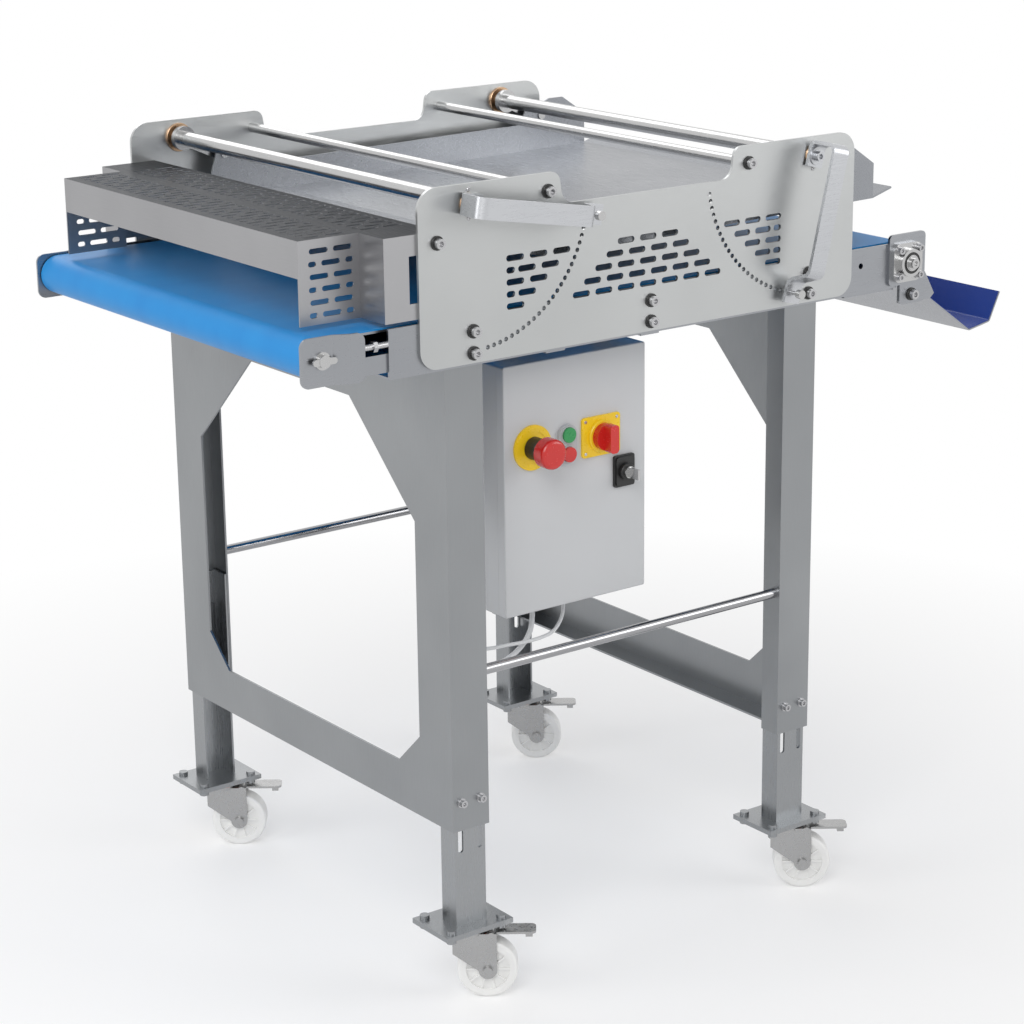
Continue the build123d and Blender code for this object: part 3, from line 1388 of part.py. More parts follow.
with BuildPart() as emergency_button:
    bar_y(estop_x, estop_z, door_face - 40, door_face - 5, estop_r / 5)
    bar_y(estop_x, estop_z, door_face - 50, door_face - 30, estop_r / 1.5)
    rims = emergency_button.edges().filter_by(GeomType.CIRCLE)
    fillet(rims.filter_by_position(Axis.Y, door_face - 51, door_face - 49), estop_r / 5)
emergency_button.part.label = "emergency_button"
export_step(emergency_button.part, "parts/emergency_button.step")

with BuildPart() as start_button:
    bar_y(button_x, button_zs[0], door_face - 9, door_face - 4, button_r)
start_button.part.label = "start_button"
export_step(start_button.part, "parts/start_button.step")

with BuildPart() as stop_button:
    bar_y(button_x, button_zs[1], door_face - 10, door_face - 4, button_r)
stop_button.part.label = "stop_button"
export_step(stop_button.part, "parts/stop_button.step")

with BuildPart() as main_switch:
    bar_y(switch_x, switch_z, door_face - 18, door_face - 8 - run_gap, switch_knob_r)
    pad(switch_x, switch_z, switch_knob_r * 0.78, switch_knob_r * 2.1, door_face - 32, door_face - 18, 5)
main_switch.part.label = "main_switch"
export_step(main_switch.part, "parts/main_switch.step")

with BuildPart() as key_switch:
    bar_y(key_x, key_z, door_face - 16, door_face - 12 - run_gap, key_w / 4.25)
    block(key_x - 1.5, key_x + 1.5, door_face - 34, door_face - 16, key_z - 7, key_z + 7)
key_switch.part.label = "key_switch"
export_step(key_switch.part, "parts/key_switch.step")

# cables: straight runs joined by arcs, from the glands round the infeed leg and up to the frame
with BuildPart() as cable_glands:
    for x in (gland_a_x, gland_b_x):
        with BuildSketch(Plane.XY.offset(cab_z0 - gland_nut_h)):
            with Locations((x, gland_y)):
                RegularPolygon(gland_r, 6)
        extrude(amount=gland_nut_h)
        bar_z(x, gland_y, gland_z, cab_z0 - gland_nut_h, gland_tip_r)
cable_glands.part.label = "cable_glands"
export_step(cable_glands.part, "parts/cable_glands.step")

cable_x = panel_x0
cable_y = -panel_half
cable_top = gear_z1


def bends(points):
    # arc radii that leave a straight stretch between neighbouring corners
    radii = []
    for k in range(1, len(points) - 1):
        back = Vector(*points[k]) - Vector(*points[k - 1])
        on = Vector(*points[k + 1]) - Vector(*points[k])
        half_turn = math.radians(back.get_angle(on)) / 2
        radii.append(0.45 * min(back.length, on.length) / math.tan(half_turn))
    return radii


def route(gland_x, sag, rise):
    # from the gland's tip, hanging to the leg, then up to the underside of the frame
    points = [(gland_x, gland_y, gland_z)]
    points += [(gland_x + dx, gland_y + dy, gland_z + dz) for dx, dy, dz in sag]
    points += [(cable_x + dx, cable_y + dy, cable_top + dz) for dx, dy, dz in rise]
    return points


cable_a_route = route(gland_a_x, cable_a_sag, cable_a_rise)
cable_b_route = route(gland_b_x, cable_b_sag, cable_b_rise)
cable_a_bends = bends(cable_a_route)
cable_b_bends = bends(cable_b_route)
print("cable_a radii", [round(r, 1) for r in cable_a_bends], min(cable_a_bends) >= least_bend * cable_a_d)
print("cable_b radii", [round(r, 1) for r in cable_b_bends], min(cable_b_bends) >= least_bend * cable_b_d)

with BuildPart() as cable_a:
    with BuildLine() as cable_a_line:
        FilletPolyline(*cable_a_route, radius=cable_a_bends)
    with BuildSketch(Plane(origin=cable_a_line.line @ 0, z_dir=cable_a_line.line % 0)):
        Circle(cable_a_d / 2)
    sweep()
cable_a.part.label = "cable_a"
export_step(cable_a.part, "parts/cable_a.step")

with BuildPart() as cable_b:
    with BuildLine() as cable_b_line:
        FilletPolyline(*cable_b_route, radius=cable_b_bends)
    with BuildSketch(Plane(origin=cable_b_line.line @ 0, z_dir=cable_b_line.line % 0)):
        Circle(cable_b_d / 2)
    sweep()
cable_b.part.label = "cable_b"
export_step(cable_b.part, "parts/cable_b.step")
cable_a_length = sum(e.length for e in cable_a_line.edges())
cable_b_length = sum(e.length for e in cable_b_line.edges())
print("cable lengths", round(cable_a_length, 1), round(cable_b_length, 1))
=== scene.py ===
import math

import bmesh
import bpy
from mathutils import Matrix, Vector


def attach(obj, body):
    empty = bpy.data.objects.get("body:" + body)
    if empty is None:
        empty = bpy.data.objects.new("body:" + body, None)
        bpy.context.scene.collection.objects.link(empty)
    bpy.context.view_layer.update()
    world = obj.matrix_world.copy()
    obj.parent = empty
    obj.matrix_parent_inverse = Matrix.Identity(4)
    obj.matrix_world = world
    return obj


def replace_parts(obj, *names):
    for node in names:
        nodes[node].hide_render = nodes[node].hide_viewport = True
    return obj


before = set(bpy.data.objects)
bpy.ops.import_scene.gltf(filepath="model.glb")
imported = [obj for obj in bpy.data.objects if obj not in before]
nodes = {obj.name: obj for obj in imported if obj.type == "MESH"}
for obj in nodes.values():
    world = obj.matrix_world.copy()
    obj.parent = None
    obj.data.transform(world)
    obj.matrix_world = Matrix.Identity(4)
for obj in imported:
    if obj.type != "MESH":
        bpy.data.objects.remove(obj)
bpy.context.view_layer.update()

# camera of the photograph, metres and degrees
CAMERA_AT = (-2.1301, -2.9366, 1.6218)
CAMERA_TURN = -36.43
CAMERA_DIP = 16.66
CAMERA_ROLL = -0.71
FOCAL_PX = 2672.67
PICTURE_PX = 1024
SENSOR = 36.0

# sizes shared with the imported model, metres
PIVOT_X = 0.280
PIVOT_Z = 1.057
SHAFT_R = 0.01005
PLATE_OUT = 0.350
DRIVE_X = 0.456
AXIS_Z = 0.892
MOTOR_X = 0.400
MOTOR_Z = 0.803
LEG_XS = {"infeed": -0.2835, "outfeed": 0.2735}
CASTER_Y = 0.315
CASTER_TURN = -36.4
TRAIL = 0.032
WHEEL_R = 0.040
DOOR_Y = -0.285
ESTOP_X = -0.140
ESTOP_Z = 0.716
BUTTON_X = -0.0845
BUTTON_ZS = (0.7245, 0.6985)
SWITCH_X = -0.0285
SWITCH_Z = 0.714
KEY_X = 0.010
KEY_Z = 0.6595
CHAIN_R = 0.0178
CHAIN_LINKS = 34
TERMINAL_Y = 0.124

# cable routes from the glands to the underside of the conveyor frame
CABLE_A = (
    (-0.0600, -0.2450, 0.4800), (-0.0600, -0.2450, 0.4670), (-0.0652, -0.2460, 0.4552),
    (-0.0745, -0.2480, 0.4463), (-0.0866, -0.2505, 0.4416), (-0.1066, -0.2535, 0.4405),
    (-0.1330, -0.2565, 0.4415), (-0.1660, -0.2600, 0.4455), (-0.2000, -0.2680, 0.4500),
    (-0.2320, -0.2760, 0.4590), (-0.2580, -0.2850, 0.4770), (-0.2740, -0.2920, 0.5040),
    (-0.2810, -0.2990, 0.5410), (-0.2820, -0.3070, 0.5850), (-0.2800, -0.3120, 0.6350),
    (-0.2810, -0.3110, 0.6900), (-0.2800, -0.3130, 0.7450), (-0.2810, -0.3120, 0.8000),
    (-0.2810, -0.3120, 0.8535),
)
CABLE_B = (
    (-0.1120, -0.2450, 0.4800), (-0.1120, -0.2450, 0.4600), (-0.1200, -0.2450, 0.4415),
    (-0.1370, -0.2465, 0.4280), (-0.1600, -0.2510, 0.4210), (-0.1880, -0.2590, 0.4200),
    (-0.2160, -0.2685, 0.4250), (-0.2420, -0.2770, 0.4370), (-0.2640, -0.2850, 0.4570),
    (-0.2790, -0.2920, 0.4850), (-0.2870, -0.3000, 0.5220), (-0.2900, -0.3110, 0.5700),
    (-0.2910, -0.3210, 0.6220), (-0.2900, -0.3250, 0.6800), (-0.2910, -0.3240, 0.7380),
    (-0.2900, -0.3250, 0.7960), (-0.2900, -0.3250, 0.8535),
)


def set_input(node, name, value):
    node.inputs[name].default_value = value


def new_material(name):
    material = bpy.data.materials.new(name)
    material.use_nodes = True
    tree = material.node_tree
    shader = tree.nodes["Principled BSDF"]
    coords = tree.nodes.new("ShaderNodeTexCoord")
    return material, tree, shader, coords


def noise(tree, coords, stretch, scale, detail=4.0):
    mapping = tree.nodes.new("ShaderNodeMapping")
    mapping.inputs["Scale"].default_value = stretch
    tree.links.new(coords.outputs["Object"], mapping.inputs["Vector"])
    texture = tree.nodes.new("ShaderNodeTexNoise")
    set_input(texture, "Scale", scale)
    set_input(texture, "Detail", detail)
    tree.links.new(mapping.outputs["Vector"], texture.inputs["Vector"])
    return texture


def spread(tree, source, low, high, start=0.3, end=0.7):
    ramp = tree.nodes.new("ShaderNodeMapRange")
    set_input(ramp, "From Min", start)
    set_input(ramp, "From Max", end)
    set_input(ramp, "To Min", low)
    set_input(ramp, "To Max", high)
    tree.links.new(source, ramp.inputs["Value"])
    return ramp.outputs["Result"]


def tinted(tree, source, dark, light):
    mix = tree.nodes.new("ShaderNodeMix")
    mix.data_type = "RGBA"
    mix.inputs["A"].default_value = (*dark, 1)
    mix.inputs["B"].default_value = (*light, 1)
    tree.links.new(source, mix.inputs["Factor"])
    return mix.outputs["Result"]


def bump(tree, shader, source, strength, distance):
    node = tree.nodes.new("ShaderNodeBump")
    set_input(node, "Strength", strength)
    set_input(node, "Distance", distance)
    tree.links.new(source, node.inputs["Height"])
    tree.links.new(node.outputs["Normal"], shader.inputs["Normal"])


def brushed_metal(name, dark, light, rough, grain, depth=0.03):
    material, tree, shader, coords = new_material(name)
    lines = noise(tree, coords, grain, 60.0, 3.0)
    cloud = noise(tree, coords, (1, 1, 1), 5.0, 2.0)
    tree.links.new(tinted(tree, cloud.outputs["Fac"], dark, light), shader.inputs["Base Color"])
    shine = spread(tree, lines.outputs["Fac"], rough - 0.06, rough + 0.08)
    tree.links.new(shine, shader.inputs["Roughness"])
    set_input(shader, "Metallic", 1.0)
    bump(tree, shader, lines.outputs["Fac"], depth, 0.0004)
    return material


def plain_surface(name, dark, light, rough, grain_scale, grain_depth, metallic=0.0, coat=0.0):
    material, tree, shader, coords = new_material(name)
    grain = noise(tree, coords, (1, 1, 1), grain_scale, 5.0)
    cloud = noise(tree, coords, (1, 1, 1), 6.0, 2.0)
    tree.links.new(tinted(tree, cloud.outputs["Fac"], dark, light), shader.inputs["Base Color"])
    shine = spread(tree, grain.outputs["Fac"], rough - 0.05, rough + 0.05)
    tree.links.new(shine, shader.inputs["Roughness"])
    set_input(shader, "Metallic", metallic)
    set_input(shader, "Coat Weight", coat)
    bump(tree, shader, grain.outputs["Fac"], grain_depth, 0.0004)
    return material


def woven_belt(name, dark, light):
    material, tree, shader, coords = new_material(name)
    weave = tree.nodes.new("ShaderNodeTexChecker")
    set_input(weave, "Scale", 700.0)
    tree.links.new(coords.outputs["Object"], weave.inputs["Vector"])
    cloud = noise(tree, coords, (1, 3, 1), 8.0, 3.0)
    tree.links.new(tinted(tree, cloud.outputs["Fac"], dark, light), shader.inputs["Base Color"])
    set_input(shader, "Roughness", 0.45)
    set_input(shader, "Specular IOR Level", 0.35)
    bump(tree, shader, weave.outputs["Fac"], 0.05, 0.0002)
    return material


def hood_metal_painted_top_shade(name, dark, light, top, rough, grain):
    # brushed sheet whose upward faces, the perforated top, are painted darker: painted shade of the slots
    # and painted dark reflection on the same steel
    material, tree, shader, coords = new_material(name)
    lines = noise(tree, coords, grain, 60.0, 3.0)
    cloud = noise(tree, coords, (1, 1, 1), 5.0, 2.0)
    base = tinted(tree, cloud.outputs["Fac"], dark, light)
    split = tree.nodes.new("ShaderNodeSeparateXYZ")
    tree.links.new(coords.outputs["Normal"], split.inputs["Vector"])
    # mask of the upward faces that take the painted top shade
    painted_top_shade = spread(tree, split.outputs["Z"], 0.0, 1.0, 0.90, 0.96)
    mix = tree.nodes.new("ShaderNodeMix")
    mix.data_type = "RGBA"
    mix.inputs["B"].default_value = (*top, 1)
    tree.links.new(painted_top_shade, mix.inputs["Factor"])
    tree.links.new(base, mix.inputs["A"])
    tree.links.new(mix.outputs["Result"], shader.inputs["Base Color"])
    shine = spread(tree, lines.outputs["Fac"], rough - 0.06, rough + 0.08)
    tree.links.new(shine, shader.inputs["Roughness"])
    set_input(shader, "Metallic", 1.0)
    # the edge reflections are tinted grey so the whole sheet reads darker, painted shade
    set_input(shader, "Specular Tint", (0.55, 0.55, 0.55, 1))
    bump(tree, shader, lines.outputs["Fac"], 0.03, 0.0004)
    return material


along_x = (0.6, 14, 14)
along_y = (14, 0.6, 14)
along_z = (14, 14, 0.6)
# plate, frame, panel, leg and board are one brushed steel; their different base colours are painted light
# and shade, the side plates lighter and the frame, end panels, legs and board darker
paint = {
    "plate": brushed_metal("brushed_plate", (0.44, 0.45, 0.45), (0.54, 0.55, 0.55), 0.34, along_x),
    "frame": brushed_metal("brushed_frame", (0.28, 0.29, 0.31), (0.38, 0.39, 0.41), 0.32, along_x),
    "panel": brushed_metal(
        "brushed_panel", (0.24, 0.25, 0.26), (0.35, 0.36, 0.37), 0.34, along_z, 0.02,
    ),
    "leg": brushed_metal("brushed_leg", (0.26, 0.27, 0.28), (0.38, 0.39, 0.40), 0.30, along_z),
    "board": brushed_metal(
        "brushed_board", (0.24, 0.25, 0.27), (0.34, 0.35, 0.37), 0.30, along_y, 0.012,
    ),
    # hood: its third colour is the painted shade and dark reflection of the perforated top
    "hood": hood_metal_painted_top_shade(
        "hood_sheet_painted_top_shade", (0.34, 0.34, 0.35), (0.46, 0.46, 0.47), (0.07, 0.073, 0.08), 0.34, along_y,
    ),
    "bright": brushed_metal(
        "turned_steel", (0.46, 0.46, 0.46), (0.56, 0.56, 0.56), 0.20, along_y, 0.01,
    ),
    "lever": brushed_metal(
        "lever_steel", (0.46, 0.47, 0.49), (0.56, 0.57, 0.59), 0.30, along_x, 0.012,
    ),
    "rod": brushed_metal("drawn_rod", (0.30, 0.30, 0.31), (0.42, 0.42, 0.43), 0.16, along_x, 0.01),
    "screw": brushed_metal(
        "screw_steel", (0.42, 0.42, 0.43), (0.54, 0.54, 0.55), 0.25, along_y, 0.01,
    ),
    "zinc": brushed_metal(
        "zinc_plate", (0.36, 0.36, 0.36), (0.48, 0.48, 0.48), 0.28, (2, 2, 2), 0.01,
    ),
    "bronze": brushed_metal("bronze", (0.52, 0.33, 0.20), (0.66, 0.46, 0.30), 0.30, along_y),
    "motor": plain_surface("motor_paint", (0.16, 0.18, 0.21), (0.22, 0.25, 0.28), 0.45, 300.0, 0.1),
    "chain": brushed_metal("chain_steel", (0.16, 0.16, 0.16), (0.28, 0.28, 0.28), 0.40, (3, 3, 3)),
    "belt": woven_belt("belt_blue", (0.004, 0.20, 0.54), (0.012, 0.26, 0.62)),
    "liner": plain_surface(
        "liner_blue", (0.010, 0.035, 0.22), (0.018, 0.055, 0.30), 0.35, 220.0, 0.04,
    ),
    "nylon": plain_surface(
        "white_nylon", (0.80, 0.80, 0.78), (0.88, 0.88, 0.87), 0.42, 160.0, 0.05,
    ),
    "cabinet": plain_surface(
        "cabinet_paint", (0.52, 0.53, 0.54), (0.57, 0.58, 0.59), 0.42, 650.0, 0.18,
    ),
    "bezel": plain_surface("bezel_grey", (0.40, 0.41, 0.42), (0.50, 0.51, 0.52), 0.35, 300.0, 0.03),
    "black": plain_surface(
        "black_plastic", (0.010, 0.010, 0.010), (0.022, 0.022, 0.022), 0.42, 400.0, 0.08,
    ),
    "yellow": plain_surface(
        "yellow_plastic", (0.84, 0.55, 0.01), (0.90, 0.62, 0.02), 0.30, 200.0, 0.03,
    ),
    "red": plain_surface(
        "red_plastic", (0.52, 0.010, 0.008), (0.62, 0.018, 0.012), 0.24, 200.0, 0.03, coat=0.3,
    ),
    "green": plain_surface(
        "green_plastic", (0.01, 0.24, 0.06), (0.02, 0.30, 0.08), 0.28, 200.0, 0.03, coat=0.2,
    ),
    "orange": plain_surface(
        "orange_seal", (0.70, 0.10, 0.02), (0.80, 0.16, 0.04), 0.45, 200.0, 0.04,
    ),
    "cable": plain_surface("grey_cable", (0.60, 0.61, 0.62), (0.70, 0.71, 0.72), 0.45, 500.0, 0.06),
}
finish_of = {
    "side_plate": "plate",
    "conveyor_sides": "frame",
    "cross_members": "frame",
    "bed_plate": "frame",
    "nose_brackets": "frame",
    "drive_brackets": "frame",
    "trough": "frame",
    "trough_liner": "liner",
    "infeed_guard": "hood",
    "end_panel": "panel",
    "hangers": "frame",
    "pressing_board": "board",
    "leg_": "leg",
    "infeed_lever": "lever",
    "outfeed_lever": "lever",
    "cross_rods": "rod",
    "gearmotor": "motor",
    "drive_chain": "chain",
    "motor_sprocket": "chain",
    "belt": "belt",
    "shaft_bushes": "bronze",
    "frame_bolts": "screw",
    "tension_screws": "screw",
    "cabinet": "cabinet",
    "cable_": "cable",
    "cable_glands": "black",
    "switch_bodies": "black",
    "emergency_button": "red",
    "stop_button": "red",
    "main_switch": "red",
    "start_button": "green",
    "key_switch": "bright",
    "caster_fork": "zinc",
    "caster_pedal": "zinc",
    "caster_wheel": "nylon",
}
for name, node in nodes.items():
    fits = [key for key in finish_of if name.startswith(key)]
    key = finish_of[max(fits, key=len)] if fits else "bright"
    node.data.materials.clear()
    node.data.materials.append(paint[key])


def new_piece(name, mesh_maker, material, body):
    mesh = bpy.data.meshes.new(name)
    form = bmesh.new()
    mesh_maker(form)
    form.normal_update()
    form.to_mesh(mesh)
    form.free()
    mesh.set_sharp_from_angle(angle=math.radians(32))
    piece = bpy.data.objects.new(name, mesh)
    bpy.context.scene.collection.objects.link(piece)
    piece.data.materials.append(paint[material])
    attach(piece, body)
    return piece


def lathe(form, profile, centre, axis, steps=48):
    # profile holds (along the axis, radius) pairs; the ends are closed by a fan
    axis = Vector(axis).normalized()
    side = axis.orthogonal().normalized()
    other = axis.cross(side)
    rings = []
    for along, radius in profile:
        middle = Vector(centre) + axis * along
        if radius < 1e-6:
            rings.append([form.verts.new(middle)])
            continue
        turn = []
        for i in range(steps):
            a = 2 * math.pi * i / steps
            out = side * radius * math.cos(a) + other * radius * math.sin(a)
            turn.append(form.verts.new(middle + out))
        rings.append(turn)
    for one, two in zip(rings, rings[1:]):
        for i in range(steps):
            j = (i + 1) % steps
            if len(one) == 1:
                face = form.faces.new((one[0], two[j], two[i]))
            elif len(two) == 1:
                face = form.faces.new((one[i], one[j], two[0]))
            else:
                face = form.faces.new((one[i], one[j], two[j], two[i]))
            face.smooth = True


def ring(form, centre, axis, inner, outer, start, end, edge=0.0003, steps=48):
    # a flat ring with small edge rounds, between two places along its axis
    lathe(form, (
        (start, inner), (start, outer - edge), (start + edge, outer), (end - edge, outer),
        (end, outer - edge), (end, inner), (start, inner),
    ), centre, axis, steps)


def disc(form, centre, axis, radius, start, end, edge=0.0004, steps=48):
    lathe(form, (
        (start, 0), (start, radius), (end - edge, radius), (end, radius - edge), (end, 0),
    ), centre, axis, steps)


def rounded_outline(x, z, width, height, corner, steps=8):
    points = []
    for sx, sz, first in ((1, 1, 0), (-1, 1, 90), (-1, -1, 180), (1, -1, 270)):
        for i in range(steps + 1):
            a = math.radians(first + 90 * i / steps)
            px = x + sx * (width / 2 - corner) + corner * math.cos(a)
            pz = z + sz * (height / 2 - corner) + corner * math.sin(a)
            points.append((px, pz))
    return points


def circle_outline(x, z, radius, steps=40):
    turns = (2 * math.pi * i / steps for i in range(steps))
    return [(x + radius * math.cos(a), z + radius * math.sin(a)) for a in turns]


def slab(form, outer, holes, y0, y1):
    # an upright plate between y0 and y1 with the outline and holes given as (x, z) loops
    edges = []
    for loop in (outer, *holes):
        verts = [form.verts.new((x, y0, z)) for x, z in loop]
        edges += [form.edges.new((verts[i], verts[i - 1])) for i in range(len(verts))]
    filled = bmesh.ops.triangle_fill(form, edges=edges, use_beauty=True)
    faces = [f for f in filled["geom"] if isinstance(f, bmesh.types.BMFace)]
    grown = bmesh.ops.extrude_face_region(form, geom=faces)
    moved = [v for v in grown["geom"] if isinstance(v, bmesh.types.BMVert)]
    bmesh.ops.translate(form, verts=moved, vec=(0, y1 - y0, 0))
    bmesh.ops.recalc_face_normals(form, faces=form.faces)


# bronze bushes, their flanges on the inner faces of the side plates
def bushes(form):
    for x in (-PIVOT_X, PIVOT_X):
        for s in (-1, 1):
            lathe(form, (
                (0.3430, SHAFT_R), (0.3430, 0.0195), (0.3435, 0.0200), (0.3460, 0.0200),
                (0.3460, 0.0130), (0.3510, 0.0130), (0.3515, 0.0125), (0.3515, SHAFT_R), (0.3430, SHAFT_R),
            ), (x, 0, PIVOT_Z), (0, s, 0))


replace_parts(new_piece("pivot_bushes", bushes, "bronze", "frame"), "shaft_bushes")

# dark washers under the plate screws, and the pairs of small screws that hold the bushes
low_spots = [(x, z) for x in (-0.276, 0.004, 0.276) for z in (0.900, 0.8725)]
plate_spots = low_spots + [(-0.160, 1.059), (0.167, 1.059), (-0.3275, 1.015), (0.469, 0.845)]


def washers(form):
    for x, z in plate_spots:
        for s in (-1, 1):
            ring(form, (x, 0, z), (0, s, 0), 0.0064, 0.0089, PLATE_OUT, PLATE_OUT + 0.0022)


def bush_screws(form):
    for x in (-PIVOT_X, PIVOT_X):
        for s in (-1, 1):
            for dz in (-0.0175, 0.0175):
                lathe(form, (
                    (PLATE_OUT, 0.0030), (PLATE_OUT + 0.0006, 0.0028), (PLATE_OUT + 0.0012, 0.0020),
                    (PLATE_OUT + 0.0012, 0.0010), (PLATE_OUT + 0.0004, 0.0009), (PLATE_OUT + 0.0004, 0),
                ), (x, 0, PIVOT_Z + dz), (0, s, 0), 20)


new_piece("screw_washers", washers, "black", "frame")
new_piece("bush_screws", bush_screws, "screw", "frame")


# drive bearings: a black seal round a bright inner ring
def bearing_seals(form):
    for s in (-1, 1):
        ring(form, (DRIVE_X, 0, AXIS_Z), (0, s, 0), 0.0112, 0.0149, 0.3624, 0.3634)


def bearing_rings(form):
    for s in (-1, 1):
        ring(form, (DRIVE_X, 0, AXIS_Z), (0, s, 0), SHAFT_R, 0.0113, 0.3624, 0.3652)
        for k in range(3):
            a = math.radians(90 + 120 * k)
            at = (DRIVE_X + 0.0172 * math.cos(a), 0, AXIS_Z + 0.0172 * math.sin(a))
            disc(form, at, (0, s, 0), 0.0012, 0.3636, 0.3646, 0.0003, 16)


new_piece("bearing_seals", bearing_seals, "black", "frame")
new_piece("bearing_rings", bearing_rings, "bright", "frame")


# gearmotor: cooling fins round the motor, and a lid with screws on its terminal box
def motor_fins(form):
    for k in range(19):
        y = 0.058 + 0.0085 * k
        ring(form, (MOTOR_X, y, MOTOR_Z), (0, 1, 0), 0.0455, 0.0488, 0, 0.0026, 0.0006)


def motor_box(form):
    base = rounded_outline(TERMINAL_Y, MOTOR_Z, 0.072, 0.072, 0.006)
    top = rounded_outline(TERMINAL_Y, MOTOR_Z, 0.069, 0.069, 0.006)
    verts = [form.verts.new((0.3400, y, z)) for y, z in base]
    lid = [form.verts.new((0.3365, y, z)) for y, z in top]
    form.faces.new(lid)
    form.faces.new(list(reversed(verts)))
    for i in range(len(verts)):
        form.faces.new((verts[i - 1], verts[i], lid[i], lid[i - 1]))
    bmesh.ops.recalc_face_normals(form, faces=form.faces)
    for dy in (-0.028, 0.028):
        for dz in (-0.028, 0.028):
            at = (0.3365, TERMINAL_Y + dy, MOTOR_Z + dz)
            disc(form, at, (-1, 0, 0), 0.0030, 0, 0.0015, 0.0003, 20)


new_piece("motor_fins", motor_fins, "motor", "frame")
new_piece("motor_box_lid", motor_box, "motor", "frame")


# roller chain round the two sprockets, link by link
def chain_spot(along):
    # the point of the loop at this distance from its start
    run = math.hypot(DRIVE_X - MOTOR_X, AXIS_Z - MOTOR_Z)
    lean = math.atan2(AXIS_Z - MOTOR_Z, DRIVE_X - MOTOR_X)
    radius = CHAIN_R
    arc = math.pi * radius
    along %= 2 * (run + arc)
    back = along >= run + arc
    if back:
        along -= run + arc
    at, turn = (DRIVE_X, AXIS_Z), lean + math.pi
    if not back:
        at, turn = (MOTOR_X, MOTOR_Z), lean
    side = turn - math.pi / 2
    x, z = at[0] + radius * math.cos(side), at[1] + radius * math.sin(side)
    if along <= run:
        return x + along * math.cos(turn), z + along * math.sin(turn)
    bend = (along - run) / radius
    end = (at[0] + run * math.cos(turn), at[1] + run * math.sin(turn))
    return end[0] + radius * math.cos(side + bend), end[1] + radius * math.sin(side + bend)


def link_outline(one, two, radius, steps=7):
    lean = math.atan2(two[1] - one[1], two[0] - one[0])
    points = []
    for at, first in ((two, lean - math.pi / 2), (one, lean + math.pi / 2)):
        for i in range(steps + 1):
            a = first + math.pi * i / steps
            points.append((at[0] + radius * math.cos(a), at[1] + radius * math.sin(a)))
    return points


def roller_chain(form):
    loop = 2 * (math.hypot(DRIVE_X - MOTOR_X, AXIS_Z - MOTOR_Z) + math.pi * CHAIN_R)
    spots = [chain_spot(loop * k / CHAIN_LINKS) for k in range(CHAIN_LINKS)]
    for k, spot in enumerate(spots):
        disc(form, (spot[0], 0, spot[1]), (0, 1, 0), 0.0026, 0.3362, 0.3398, 0.0002, 14)
        disc(form, (spot[0], 0, spot[1]), (0, 1, 0), 0.0012, 0.3352, 0.3408, 0.0002, 10)
        outline = link_outline(spots[k - 1], spot, 0.0030)
        inner = ((0.3357, 0.3362), (0.3398, 0.3403))
        outer = ((0.3353, 0.3357), (0.3403, 0.3407))
        for y0, y1 in inner if k % 2 else outer:
            slab(form, outline, (), y0, y1)


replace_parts(new_piece("roller_chain", roller_chain, "chain", "frame"), "drive_chain")


# control fittings on the cabinet door
def estop_collar(form):
    rim = circle_outline(ESTOP_X, ESTOP_Z, 0.030, 64)
    hole = circle_outline(ESTOP_X, ESTOP_Z, 0.0066)
    slab(form, rim, (hole,), DOOR_Y, DOOR_Y - 0.003)
    ring(form, (ESTOP_X, DOOR_Y, ESTOP_Z), (0, -1, 0), 0.0215, 0.0275, 0.003, 0.0036)


def estop_housing(form):
    ring(form, (ESTOP_X, DOOR_Y, ESTOP_Z), (0, -1, 0), 0.0064, 0.0150, 0.003, 0.024, 0.0012)


def button_bezel(form):
    holes = [circle_outline(BUTTON_X, z, 0.0102) for z in BUTTON_ZS]
    slab(form, rounded_outline(BUTTON_X, 0.7115, 0.029, 0.053, 0.0138), holes, DOOR_Y, DOOR_Y - 0.005)
    for z in BUTTON_ZS:
        ring(form, (BUTTON_X, DOOR_Y, z), (0, -1, 0), 0.0103, 0.0122, 0.005, 0.0062)


def switch_plate(form):
    slab(form, rounded_outline(SWITCH_X, SWITCH_Z, 0.063, 0.054, 0.004), (), DOOR_Y, DOOR_Y - 0.003)
    disc(form, (SWITCH_X, DOOR_Y, SWITCH_Z), (0, -1, 0), 0.0220, 0.003, 0.008, 0.0012)


def switch_screws(form):
    for dx in (-0.026, 0.026):
        for dz in (-0.0215, 0.0215):
            at = (SWITCH_X + dx, DOOR_Y, SWITCH_Z + dz)
            disc(form, at, (0, -1, 0), 0.0022, 0.003, 0.0038, 0.0003, 20)


def key_module(form):
    slab(form, rounded_outline(KEY_X, KEY_Z, 0.034, 0.043, 0.003), (), DOOR_Y, DOOR_Y - 0.004)
    slab(form, rounded_outline(KEY_X, KEY_Z, 0.030, 0.039, 0.004), (), DOOR_Y - 0.004, DOOR_Y - 0.006)
    ring(form, (KEY_X, DOOR_Y, KEY_Z), (0, -1, 0), 0.0030, 0.0113, 0.006, 0.012, 0.0008)


collar = new_piece("estop_collar", estop_collar, "yellow", "door")
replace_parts(collar, "switch_bodies")
new_piece("estop_housing", estop_housing, "black", "door")
new_piece("button_bezel", button_bezel, "bezel", "door")
new_piece("switch_plate", switch_plate, "yellow", "door")
new_piece("switch_screws", switch_screws, "screw", "door")
new_piece("key_module", key_module, "black", "door")


# casters: orange raceway seals, ribs and bearing rings in the wheels
def across(u, v):
    turn = math.radians(CASTER_TURN)
    return u * math.cos(turn) - v * math.sin(turn), u * math.sin(turn) + v * math.cos(turn)


